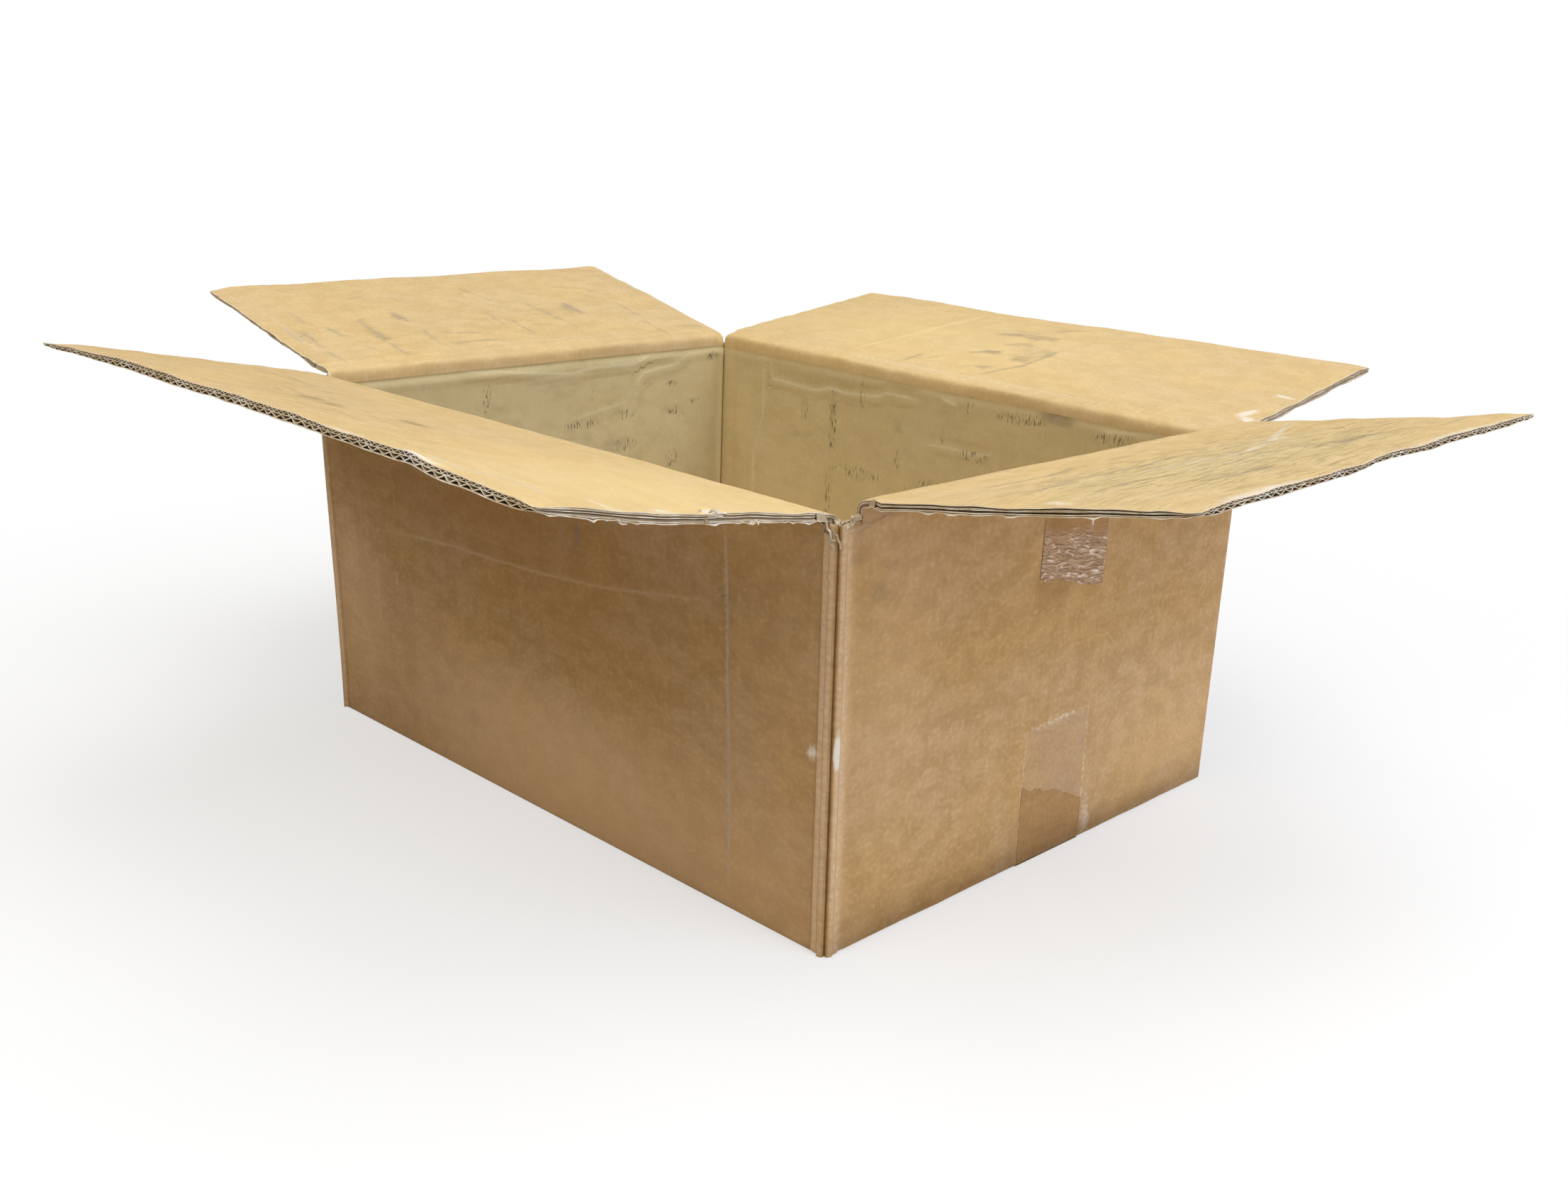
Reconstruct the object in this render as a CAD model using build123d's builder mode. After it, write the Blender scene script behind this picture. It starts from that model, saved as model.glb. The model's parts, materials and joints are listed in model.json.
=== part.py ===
"""Used shipping box of double-wall corrugated board, standing open with its four top flaps folded out.

Millimetres and degrees. +X runs along the long side, +Y along the width, +Z up.
The origin is the middle of the underside, on the floor.
"""

from build123d import *

import os
from math import cos, floor, hypot, radians, sin, sqrt

# The blank, folded up
length = 370.0              # outside, along X
width = 284.0               # outside, along Y
height = 184.5              # floor to the fold of the left and right flaps, which close last
flap_depth = 139.5          # fold to free edge, the same for every flap
slot_width = 9.0            # cut between neighbouring flaps, centred on each corner
slot_depth = 1.0            # how far that cut runs below the fold of the front and back flaps
flap_chamfer = 4.0          # each flap narrows at its fold by this much a side
flap_chamfer_depth = 6.5    # and is full width from this far out

# The double-wall board: outer liner, large flute, middle liner, small flute, inner liner
board = 4.0
liner = 0.3
flute_paper = 0.28
large_flute_height = 2.2
large_pitch = 6.35
large_crest = 1.3           # flat top of each large flute, where it is glued
small_pitch = 3.4
scored_band = 10.0          # beside a fold the flutes are pressed shut

# Folds
fold_gap = 0.3              # between a flap and its wall, when the flap lies closed
layer_gap = 0.3             # between a closed front or back flap and the end flap that covers it
fold_radius = 3.5           # outside of a vertical fold or a long bottom fold
end_fold_radius = 1.2       # outside of the tighter fold under an end wall
groove_radius = 0.8         # line pressed down the middle of a vertical fold
bead_radius = 1.8           # bulge of the inner liner beside a vertical fold

# How far each flap stands above level
front_rise = 10.0
back_rise = 10.0
right_rise = 10.0
left_rise = 12.0

# The closed bottom and the glued side seam
seam_gap = 2.0              # between the two outer bottom flaps
bottom_inset = 1.5          # from the end walls' faces to the cut edges of the outer bottom flaps
tab_width = 35.0            # glued tab, inside the right wall
tab_taper = 8.0             # its free edge is this much shorter at each end
tab_clear = 4.0             # from the tab to the flaps folded above and below it

# Packing tape
tape_width = 48.0
tape_thickness = 0.2
tape_offset = 7.5           # the strip lies off the middle, towards the back
right_leg_front = 38.0      # up the right wall, to a torn edge: here at its front end
right_leg_back = 20.0       # and here at its back end
left_leg = 60.0             # up the left wall, to a cut edge
remnant_drop = 55.0         # piece of an older strip left high on the right wall
remnant_clear = 3.0         # from that piece up to the fold
tear_step = 8.0             # spacing of the points along a torn edge
tear_depth = 3.5            # how far that edge wanders

# Worked out from the sizes above
half_slot = slot_width / 2
fold_tip = fold_gap / sqrt(2)
side_fold = height - board - layer_gap
middle_liner_floor = liner + large_flute_height
small_flute_floor = middle_liner_floor + liner
inner_liner_floor = board - liner
side_panel = length - slot_width
end_panel = width - slot_width
fold_relief = fold_radius * (1 - sqrt(0.5))
seam_x = length / 2 - board


def flute_cells(panel, pitch, crest, bottom, top, both_sides):
    """Draw the spaces that one flute leaves between its liners, across a panel centred on x = 0.

    A crest of 0 makes plain triangles. The outermost space on each side is cut open by the panel's edge.
    """
    half_pitch = pitch / 2
    run = half_pitch - crest / 2
    rise = top - bottom
    across = flute_paper / 2 * hypot(run, rise) / rise
    skin = flute_paper / 2 * hypot(run, rise) / run
    foot = half_pitch - across
    brow = crest / 2 - across + run * flute_paper / rise
    arch = [(brow, top - flute_paper), (-brow, top - flute_paper)] if crest else [(0, top - skin)]
    count = floor((panel / 2 - half_pitch - liner) / pitch)
    with Locations(*[(i * pitch, 0) for i in range(-count, count + 1)]):
        Polygon((-foot, bottom), (foot, bottom), *arch)
    if both_sides:
        with Locations(*[(i * pitch + half_pitch, 0) for i in range(-count, count)]):
            Polygon((across - run, top), (0, bottom + skin), (run - across, top))
    opened = count * pitch + half_pitch
    for side in (-1, 1):
        Polygon(
            (side * (opened + across - run), top),
            (side * opened, bottom + skin),
            (side * panel, bottom + skin),
            (side * panel, top),
        )


def make_flap(name, fold, panel):
    """A top flap. Its fold lies along X of the given plane, its free edge towards Y, its inside face up."""
    half = panel / 2
    across = Plane(origin=fold.origin, x_dir=fold.y_dir, z_dir=fold.x_dir)
    free_edge = Plane(origin=fold.origin + fold.y_dir * flap_depth, x_dir=fold.x_dir, z_dir=-fold.y_dir)
    with BuildPart() as flap:
        with BuildSketch(fold):
            Polygon(
                (flap_chamfer - half, fold_tip),
                (half - flap_chamfer, fold_tip),
                (half, flap_chamfer_depth),
                (half, flap_depth),
                (-half, flap_depth),
                (-half, flap_chamfer_depth),
            )
        extrude(amount=board)

        # The fold is bevelled at 45 degrees, so that the flap closes square on its wall
        with BuildSketch(across):
            Polygon((fold_tip, 0), (fold_tip + board, board), (fold_tip, board))
        extrude(amount=half, both=True, mode=Mode.SUBTRACT)

        # The flutes run from the free edge to the band that the score has pressed shut
        with BuildSketch(free_edge):
            flute_cells(panel, large_pitch, large_crest, liner, middle_liner_floor, both_sides=True)
            flute_cells(panel, small_pitch, 0, small_flute_floor, inner_liner_floor, both_sides=False)
        extrude(amount=flap_depth - scored_band, mode=Mode.SUBTRACT)
    flap.part.label = name
    export_step(flap.part, f"parts/{name}.step")


def torn_tape(whole_end, torn_front, torn_back):
    """Draw a length of tape on a wall: X across the strip to the back, Y up the wall, one end torn aslant."""
    half = tape_width / 2
    steps = round(tape_width / tear_step)
    slope = (torn_front - torn_back) / steps
    tear = [
        (half - i * tape_width / steps, torn_back + i * slope + (i % 2 - 0.5) * tear_depth)
        for i in range(steps + 1)
    ]
    Polygon((-half, whole_end), (half, whole_end), *tear)


os.makedirs("parts", exist_ok=True)

# Walls, closed bottom and glued side seam: one folded sheet
with BuildPart() as box_body:
    # The outer bottom flaps fold in from the front and back walls and meet along the middle
    with BuildSketch():
        Rectangle(length - 2 * bottom_inset, width)
    extrude(amount=board)
    long_folds = box_body.edges().filter_by(Axis.X).group_by(Axis.Z)[0]
    fillet(long_folds, fold_radius)
    with BuildSketch():
        Rectangle(length, seam_gap)
    extrude(amount=board, mode=Mode.SUBTRACT)

    # The inner bottom flaps fold in from the end walls and lie on the outer ones
    with BuildSketch(Plane.XY.offset(board)):
        with Locations(((length - flap_depth) / 2, 0), ((flap_depth - length) / 2, 0)):
            Rectangle(flap_depth, end_panel)
    extrude(amount=board)

    # The four walls: three corners are folds, and the fourth is the glued seam
    with BuildSketch(Plane.XY.offset(board)) as walls:
        Rectangle(length, width)
        fillet(walls.vertices().sort_by(Axis((0, 0, 0), (1, 1, 0)))[:-1], fold_radius)
        Rectangle(length - 2 * board, width - 2 * board, mode=Mode.SUBTRACT)
        groove_x = length / 2 - fold_relief
        groove_y = width / 2 - fold_relief
        with Locations((-groove_x, groove_y), (-groove_x, -groove_y), (groove_x, -groove_y)):
            Circle(groove_radius, mode=Mode.SUBTRACT)
        bead_x = length / 2 - board
        bead_y = width / 2 - board - bead_radius
        with Locations((-bead_x, bead_y), (-bead_x, -bead_y), (bead_x, -bead_y)):
            Circle(bead_radius)
    extrude(amount=height - board)

    # At the seam the back wall folds round behind the cut edge of the right wall
    with BuildSketch(Plane.XY.offset(board)):
        with BuildLine():
            seam_corner = (seam_x, width / 2)
            fold_start = (seam_x - fold_radius, width / 2)
            fold_end = (seam_x, width / 2 - fold_radius)
            Polyline(fold_start, seam_corner, fold_end)
            RadiusArc(fold_end, fold_start, -fold_radius)
        make_face()
    extrude(amount=height - board, mode=Mode.SUBTRACT)
    with BuildSketch(Plane.YZ.offset(seam_x - board)):
        tab_root = width / 2 - board
        tab_bottom = 2 * board + tab_clear
        tab_top = side_fold - board - tab_clear
        Polygon(
            (tab_root, tab_bottom),
            (tab_root, tab_top),
            (tab_root - tab_width, tab_top - tab_taper),
            (tab_root - tab_width, tab_bottom + tab_taper),
        )
    extrude(amount=board)

    # The folds of the top flaps: each wall is bevelled at 45 degrees, up to its outer face
    def bevel(face, fold_height):
        """Draw what is cut off the top of a wall whose outer face is at x = face, either side of x = 0."""
        reach = board + 2 * bead_radius
        tip = fold_height - fold_tip
        for side in (-1, 1):
            Polygon(
                (side * (face + board), tip + board),
                (side * (face - reach), tip - reach),
                (side * (face - reach), height + board),
                (side * (face + board), height + board),
            )

    with BuildSketch(Plane.YZ):
        bevel(width / 2, side_fold)
    extrude(amount=side_panel / 2, both=True, mode=Mode.SUBTRACT)
    with BuildSketch(Plane.XZ):
        bevel(length / 2, height)
    extrude(amount=end_panel / 2, both=True, mode=Mode.SUBTRACT)

    # The slots between the flaps end in the corners
    with BuildSketch(Plane.XY.offset(side_fold - slot_depth)):
        with GridLocations(length, width, 2, 2):
            Rectangle(slot_width, slot_width)
    extrude(amount=height, mode=Mode.SUBTRACT)

    # The fold under each end wall is tight and rounded
    with BuildSketch(Plane.XZ):
        for side in (-1, 1):
            low = (side * (length / 2 - end_fold_radius), board)
            high = (side * length / 2, board + end_fold_radius)
            with BuildLine():
                Polyline(low, (side * length / 2, board), high)
                RadiusArc(high, low, side * end_fold_radius)
            make_face()
    extrude(amount=end_panel / 2, both=True, mode=Mode.SUBTRACT)

    # The tape is pressed flush into the soft liner underneath
    with BuildSketch():
        with Locations((0, tape_offset)):
            Rectangle(length, tape_width)
    extrude(amount=tape_thickness, mode=Mode.SUBTRACT)
box_body.part.label = "box_body"
export_step(box_body.part, "parts/box_body.step")

# The four top flaps, folded out
for name, outward, face, fold_height, panel, rise in (
    ("front_flap", Vector(0, -1, 0), width / 2, side_fold, side_panel, front_rise),
    ("back_flap", Vector(0, 1, 0), width / 2, side_fold, side_panel, back_rise),
    ("right_flap", Vector(1, 0, 0), length / 2, height, end_panel, right_rise),
    ("left_flap", Vector(-1, 0, 0), length / 2, height, end_panel, left_rise),
):
    up = Vector(0, 0, 1)
    fold = Plane(
        origin=outward * face + up * fold_height,
        x_dir=outward.cross(up),
        z_dir=up * cos(radians(rise)) - outward * sin(radians(rise)),
    )
    make_flap(name, fold, panel)

# The strip of tape that closes the bottom, turned up on both end walls
with BuildPart() as bottom_tape:
    with BuildSketch():
        with Locations((0, tape_offset)):
            Rectangle(length + 2 * tape_thickness, tape_width)
    extrude(amount=tape_thickness)
    with BuildSketch(Plane(origin=(length / 2, tape_offset, 0), x_dir=(0, 1, 0), z_dir=(1, 0, 0))):
        torn_tape(0, right_leg_front, right_leg_back)
    extrude(amount=tape_thickness)
    with BuildSketch(Plane(origin=(-length / 2, tape_offset, 0), x_dir=(0, -1, 0), z_dir=(-1, 0, 0))):
        with Locations((0, left_leg / 2)):
            Rectangle(tape_width, left_leg)
    extrude(amount=tape_thickness)
bottom_tape.part.label = "bottom_tape"
export_step(bottom_tape.part, "parts/bottom_tape.step")

# What is left of an older strip, under the fold of the right flap
with BuildPart() as tape_remnant:
    with BuildSketch(Plane(origin=(length / 2, tape_offset, height), x_dir=(0, 1, 0), z_dir=(1, 0, 0))):
        torn_edge = -remnant_clear - remnant_drop
        torn_tape(-remnant_clear, torn_edge, torn_edge)
    extrude(amount=tape_thickness)
tape_remnant.part.label = "tape_remnant"
export_step(tape_remnant.part, "parts/tape_remnant.step")
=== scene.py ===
"""Looks of the used double-wall shipping box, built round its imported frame.

Lengths in this script are millimetres and become metres when a mesh is made. A panel has its own coordinates:
u runs along its fold to the right as seen from outside, v runs away from the floor or from the fold,
and w goes through the board, from 0 on the outer liner to 4 on the inner liner.
"""

import json
from math import cos, hypot, pi, radians, sin, sqrt

import bpy
import numpy as np
from mathutils import Matrix, Vector


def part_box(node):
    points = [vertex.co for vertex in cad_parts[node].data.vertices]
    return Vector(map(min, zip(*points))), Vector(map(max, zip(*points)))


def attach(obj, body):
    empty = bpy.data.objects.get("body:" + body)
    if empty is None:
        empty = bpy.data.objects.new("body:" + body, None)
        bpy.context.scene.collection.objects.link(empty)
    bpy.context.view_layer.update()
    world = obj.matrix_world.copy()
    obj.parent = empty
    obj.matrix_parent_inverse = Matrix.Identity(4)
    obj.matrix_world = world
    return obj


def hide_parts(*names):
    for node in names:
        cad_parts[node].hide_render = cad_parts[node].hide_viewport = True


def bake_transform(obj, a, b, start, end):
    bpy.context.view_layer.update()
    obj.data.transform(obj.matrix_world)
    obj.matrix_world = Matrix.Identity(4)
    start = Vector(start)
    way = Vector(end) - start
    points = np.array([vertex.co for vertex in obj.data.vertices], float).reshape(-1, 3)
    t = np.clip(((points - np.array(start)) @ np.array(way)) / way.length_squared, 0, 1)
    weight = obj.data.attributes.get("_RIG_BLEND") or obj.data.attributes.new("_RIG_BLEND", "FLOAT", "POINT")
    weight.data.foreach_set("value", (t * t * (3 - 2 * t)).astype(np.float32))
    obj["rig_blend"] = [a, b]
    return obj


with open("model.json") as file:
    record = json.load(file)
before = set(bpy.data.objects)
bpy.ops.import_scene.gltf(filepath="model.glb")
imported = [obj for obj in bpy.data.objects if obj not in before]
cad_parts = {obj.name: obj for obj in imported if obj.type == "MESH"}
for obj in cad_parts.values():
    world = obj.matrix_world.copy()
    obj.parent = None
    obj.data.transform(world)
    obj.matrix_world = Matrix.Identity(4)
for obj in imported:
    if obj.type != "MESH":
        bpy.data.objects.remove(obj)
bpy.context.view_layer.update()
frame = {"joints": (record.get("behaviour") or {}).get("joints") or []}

MM = 0.001

# The board, from its outer liner to its inner liner
BOARD = 4.0
OUTER_LINER = 0.45
MIDDLE_LINER = (2.3, 2.66)
INNER_LINER = 3.68
LARGE_FLUTE_PAPER = 0.46
SMALL_FLUTE_PAPER = 0.3
LARGE_PITCH = 6.35
SMALL_PITCH = 3.4
OPEN_DEPTH = 7.0            # how far in from a cut edge the layers are modelled one by one

# Places that come from the frame
BODY_LOW, BODY_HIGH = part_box("box_body")
LENGTH = (BODY_HIGH.x - BODY_LOW.x) / MM
WIDTH = (BODY_HIGH.y - BODY_LOW.y) / MM
HINGES = {joint["child"]: joint for joint in frame["joints"]}
SIDE_FOLD = HINGES["front_flap"]["pos_m"][2] / MM
END_FOLD = HINGES["right_flap"]["pos_m"][2] / MM
FLAP_DEPTH = 139.5
HALF_SLOT = 4.5
SLOT_DEPTH = 1.0            # how far the slots between the flaps run below the lower folds
SIDE_HALF = LENGTH / 2 - HALF_SLOT
END_HALF = WIDTH / 2 - HALF_SLOT
LOW_FOLD, HIGH_FOLD = sorted((SIDE_FOLD, END_FOLD))
SLOT_FLOOR = LOW_FOLD - SLOT_DEPTH
END_BASE = 0.3              # the end walls and the corners reach almost to the floor
SIDE_BASE = 0.6             # and the side walls roll into the outer bottom flaps
SIDE_ROLL = 1.5
END_ROLL = 1.2
BOTTOM_PLAY = 1.0           # the bottom flaps stay this far from the middle seam or from an end wall's face
TAPE_SIDES = (-16.5, 31.5)  # the tape's edges across the end walls, as y
FOLD_TIP = 0.21
CORNER = 4.4                # radius of a folded vertical corner, at its outer face
SEAM_X = LENGTH / 2 - BOARD
TAB = 35.0                  # width of the glued tab
TAB_FLOOR = 12.0            # where the tab starts, above the floor
TAB_TAPER = 8.0             # its free edge is this much shorter at each end
SEALED = 9.0                # flutes are pressed shut this far from a fold
BEVELLED = 12.0             # a flap's rows follow its bevelled fold this far out
FAR = 9.0                   # distances to a crease or to the stripped patch are cut off here

# How much of each flap's fold is torn away at its left end
TORN_END = {"right_flap": 8.0, "front_flap": 0.0, "left_flap": 0.0, "back_flap": 0.0}

# Added to the panel coordinate u, so that no two stretches of paper have the same mottling
END_WALL_PAPER = 700
CORNER_PAPER = 1400

SIDE_WALLS = ("front_wall", "back_wall")
END_WALLS = ("left_wall", "right_wall")

UP = np.array((0.0, 0.0, 1.0))


def vec(*values):
    return np.array(values, float)


# Small mathematical helpers


def smooth(low, high, x):
    """0 below low, 1 above high and a soft step between."""
    t = np.clip((np.asarray(x, float) - low) / (high - low), 0, 1)
    return t * t * (3 - 2 * t)


def bell(x, width):
    return np.exp(-((np.asarray(x, float) / width) ** 2))


def waves(x, y, size, seed, count=9):
    """Smooth random relief, about -1 to 1, whose bumps are roughly `size` apart."""
    rng = np.random.default_rng(seed)
    total = 0
    for _ in range(count):
        angle = rng.uniform(0, 2 * pi)
        length = size * rng.uniform(0.6, 1.8)
        phase = rng.uniform(0, 2 * pi)
        total = total + np.cos(2 * pi * (x * cos(angle) + y * sin(angle)) / length + phase)
    return total / sqrt(count) * 0.8


def to_line(x, y, points):
    """How far (x, y) lies to the left of a polyline, and how far along it the nearest point is, from 0 to 1."""
    x, y = np.asarray(x, float), np.asarray(y, float)
    best = np.full(np.broadcast(x, y).shape, 1e9)
    along = np.zeros_like(best)
    total = sum(hypot(b[0] - a[0], b[1] - a[1]) for a, b in zip(points, points[1:]))
    done = 0
    for a, b in zip(points, points[1:]):
        dx, dy = b[0] - a[0], b[1] - a[1]
        length = hypot(dx, dy)
        t = np.clip(((x - a[0]) * dx + (y - a[1]) * dy) / length**2, 0, 1)
        distance = np.hypot(x - a[0] - t * dx, y - a[1] - t * dy)
        side = np.where(dx * (y - a[1]) - dy * (x - a[0]) < 0, -1, 1)
        nearer = distance < np.abs(best)
        best = np.where(nearer, distance * side, best)
        along = np.where(nearer, (done + t * length) / total, along)
        done += length
    return best, along


def spaced(low, high, step, *extra):
    """Even positions about `step` apart, and some more where the shape needs them."""
    even = np.linspace(low, high, max(2, round((high - low) / step) + 1))
    extra = [e for e in extra if low < e < high]
    kept = [e for e in even if not any(abs(e - x) < 0.35 * step for x in extra)]
    return np.array(sorted(set(kept) | {low, high} | set(extra)))


# The box is a little out of square: how far the top of each corner has moved, in mm
CORNER_SHIFT = {
    (1, -1): (0.0, 0.4, -3.4),
    (-1, -1): (-3.4, -5.5, -0.2),
    (1, 1): (0.2, 1.2, -0.6),
    (-1, 1): (-3.4, 2.1, 5.1),
}
NEAR_LEAN = np.array((-2.2, -2.0, 0.0))
# On top of that, how far each fold has risen at its left end and at its right end
FOLD_LIFT = {
    "front_flap": (1.4, -0.2),
    "right_flap": (-0.6, 0.3),
    "left_flap": (-1.6, -1.2),
    "back_flap": (-1.8, 2.2),
}


def out_of_square(points):
    """Lean the walls, and carry the flaps along with them."""
    x = np.clip(points[..., 0] / (LENGTH / 2), -1, 1)
    y = np.clip(points[..., 1] / (WIDTH / 2), -1, 1)
    height = np.clip(points[..., 2] / HIGH_FOLD, 0, 1)
    up = (smooth(0, 1, height) + height) / 2
    shift = 0
    for (sx, sy), move in CORNER_SHIFT.items():
        share = (1 + sx * x) / 2 * (1 + sy * y) / 2 * up
        shift = shift + share[..., None] * np.array(move)
    # The near corner leans in more, without its flaps' free parts
    outside = np.maximum(np.abs(points[..., 0]) - LENGTH / 2, np.abs(points[..., 1]) - WIDTH / 2)
    share = (1 + x) / 2 * (1 - y) / 2 * height * (1 - smooth(2, 30, outside))
    return points + shift + share[..., None] * NEAR_LEAN


def fold_lift(name, u):
    """How far the fold of a flap has risen at a place along it."""
    left, right = FOLD_LIFT[name]
    return left + (right - left) * (1 + np.clip(u / PANELS[name].half, -1, 1)) / 2


# Wear. Places are panel coordinates; "_in" is the side of a wall that looks into the box.

# Creases: the points of each, its strength, and its tone, from -1 for a dark line to 1 for a pale one
CREASES = {
    "left_wall_in": [
        ([(66, 182), (52, 178), (36, 177), (11, 174), (-17, 171), (-33, 173), (-66, 173), (-76, 177), (-84, 181)],
         1.0, 0),
        ([(-66, 146), (-67, 161), (-72, 167), (-97, 170), (-110, 176)], 0.8, 0.2),
        ([(-20, 144), (-36, 147), (-61, 150)], 0.35, 0.3),
    ],
    "back_wall_in": [
        ([(139, 177), (136, 171), (135, 164), (119, 163), (97, 162), (86, 165), (71, 164), (46, 166), (39, 169),
          (10, 168)], 1.0, 0),
        ([(-2, 172), (-13, 170)], 0.8, 0),
        ([(9, 144), (-8, 145), (-25, 144), (-40, 146)], 0.6, 0.1),
        ([(143, 178), (143, 140), (150, 114), (151, 40)], 0.7, 0.5),
        ([(-108, 171), (-152, 176)], 0.4, 0.5),
    ],
    "front_wall": [
        ([(-132, 112), (-110, 114), (-67, 117), (-34, 118), (8, 120), (47, 123), (87, 129), (122, 135)], 0.45, -0.1),
        ([(125, 178), (127, 130), (129, 60), (130, 4)], 0.9, 0.35),
    ],
    "right_wall": [
        ([(-106, 182), (-124, 178), (-135, 176)], 0.9, -0.3),
        ([(-118, 128), (-96, 152), (-88, 172)], 0.15, 0.1),
    ],
    "front_flap": [
        ([(114, 136), (131, 129.5), (149, 121), (157, 120), (164, 121)], 0.75, 0.8),
        ([(-18, 125), (0, 120), (22, 113), (50, 109)], 0.45, -0.8),
        ([(17, 120), (32, 118)], 0.9, -0.9),
        ([(34, 114), (56, 110)], 0.5, -0.8),
    ],
    "right_flap": [
        ([(-64, 66), (-46, 69), (3, 76), (40, 67), (81, 51), (125, 34), (137, 30)], 1.0, 1.0),
        ([(40, 67), (66, 66), (92, 70)], 0.6, 0.8),
        ([(-104, 30), (-70, 34), (-46, 30), (-44, 24)], 0.9, -1),
        ([(-120, 60), (-80, 52), (-34, 56), (4, 50)], 0.7, -1),
        ([(-112, 84), (-84, 80), (-60, 86)], 0.8, -1), ([(-40, 92), (0, 86), (36, 92)], 0.8, -1),
        ([(10, 108), (56, 102), (96, 108)], 0.8, -1), ([(-84, 108), (-40, 112)], 0.8, -1),
        ([(60, 84), (104, 80)], 0.7, -1), ([(84, 120), (124, 116)], 0.6, -1),
        ([(-20, 30), (20, 24)], 0.5, -1), ([(-128, 112), (-104, 118)], 0.6, -0.4),
    ],
    "left_flap": [
        ([(113, 91), (114, 68)], 0.5, -1), ([(128, 68), (128, 42)], 0.6, -1), ([(121, 58), (123, 28)], 0.7, -1),
        ([(124, 26), (121, 5)], 0.6, -1), ([(105, 62), (103, 44)], 0.9, -1), ([(77, 88), (77, 64)], 0.35, -1),
        ([(82, 65), (82, 34)], 0.8, -1), ([(84, 32), (83, 7)], 0.8, -1), ([(56, 79), (53, 59)], 0.5, -1),
        ([(52, 51), (56, 19)], 0.6, -1), ([(44, 36), (17, 34)], 0.6, -1), ([(50, 19), (32, 21), (14, 19)], 0.6, -1),
        ([(-2, 66), (-2, 41)], 0.5, -1), ([(-10, 52), (-11, 22)], 0.6, -1), ([(-10, 114), (-19, 82)], 0.5, -1),
        ([(-38, 80), (-42, 51), (-46, 27)], 0.45, -1), ([(-64, 75), (-65, 51)], 0.9, -1),
        ([(-103, 67), (-101, 38)], 0.5, -1), ([(-98, 32), (-98, 4)], 0.6, -1),
        ([(-74, 102), (-99, 97), (-101, 85)], 0.5, -1), ([(-113, 16), (-135, 14)], 0.5, -1),
        ([(100, 30), (96, 20)], 0.5, -1), ([(70, 104), (48, 110)], 0.3, -1),
    ],
    "back_flap": [
        ([(72, 136), (78, 72), (84, 8)], 0.6, 0.35),
        ([(37, 92), (20, 96), (3, 93)], 0.7, -1), ([(22, 48), (5, 61)], 0.9, -1), ([(7, 23), (-10, 28)], 0.9, -1),
        ([(-12, 10), (-23, 40), (-22, 82)], 0.6, -1), ([(8, 114), (-7, 128)], 0.6, -1),
        ([(33, 106), (6, 104)], 0.6, -1), ([(43, 13), (43, 31)], 0.7, -1), ([(34, 22), (31, 33)], 0.6, -1),
        ([(14, 74), (-4, 78)], 0.6, -1),
    ],
}

# Soft spots: centre, half sizes along u and along v, strength and turn in degrees
PALE_SPOTS = {
    "front_flap": [
        (112, 139, 3, 1.0, 1.5, 0), (118, 138.6, 5, 1.0, 1.4, -8), (126, 137, 4, 1.0, 0.8, -30),
        (178, 64, 3, 4, 1.6, 0),
        (174, 108, 14, 1.6, 0.6, -8), (177, 86, 2.5, 5, 0.8, 0), (72, 137, 14, 2, 0.5, 0),
    ],
    "right_flap": [(-95, 137, 34, 3, 0.6, 0), (-131, 84, 3, 9, 0.5, 0), (60, 137, 60, 2, 0.5, 0)],
    "left_flap": [(128, 60, 2, 50, 0.35, 0), (-20, 12, 90, 3, 0.25, 0)],
    "back_flap": [
        (-170, 32, 3, 7, 1.1, 15), (-176, 22, 7, 3, 1.0, 30), (-171, 65, 6, 1.6, 1.0, 8), (0, 6, 150, 2.5, 0.3, 0),
    ],
    "right_wall": [
        (38.5, 8, 1.2, 8, 1.0, 0), (35, 12, 4, 13, 0.35, 0), (19, 158, 0.9, 5, 0.9, 0), (6, 66, 20, 3.5, 0.3, 2),
    ],
    "front_wall": [(175, 86, 2.5, 3, 0.9, 0)],
    "near_corner": [(2.2, 88, 1.5, 6, 1.3, 0)],
}
GREY_SPOTS = {
    "left_flap": [
        (104, 52, 6, 12, 0.5, 0), (55, 68, 6, 12, 0.5, 0), (82, 40, 7, 22, 0.5, 0), (-42, 52, 8, 26, 0.35, 0),
        (78, 74, 12, 16, 0.4, 0), (-10, 96, 7, 18, 0.35, 0), (-62, 62, 9, 14, 0.45, 0), (-100, 44, 9, 26, 0.35, 0),
    ],
    "back_flap": [
        (12, 96, 26, 8, 0.7, 0), (12, 54, 13, 7, 0.6, -20), (-2, 26, 12, 5, 0.5, 12), (-16, 60, 12, 26, 0.6, 0),
        (4, 122, 12, 6, 0.4, -30), (6, 78, 14, 8, 0.5, 10),
    ],
    "front_flap": [(-20, 96, 30, 7, 0.7, 8), (30, 84, 24, 5, 0.6, 10), (-90, 60, 40, 6, 0.45, 10)],
    "right_flap": [(-60, 110, 40, 9, 0.5, 5), (40, 100, 40, 8, 0.6, 5), (90, 70, 30, 8, 0.4, 5)],
    # The broad grey over the whole inner left wall is painted shade of the box's inside
    "left_wall_in": [(0, 90, 150, 110, 0.4, 0)],
    "back_wall_in": [
        (-80, 173, 15, 5, 0.8, 0), (106, 134, 12, 6, 0.5, 0), (29, 150, 8, 5, 0.5, 0), (82, 150, 4, 16, 0.5, 0),
    ],
    "right_wall": [(-116, 150, 9, 22, 0.4, -24), (-132, 160, 5, 16, 0.4, 0), (90, 60, 40, 30, 0.3, 0)],
    "front_wall": [(33, 144, 2.5, 9, 0.9, 0), (-60, 40, 60, 25, 0.3, 0)],
}
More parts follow.
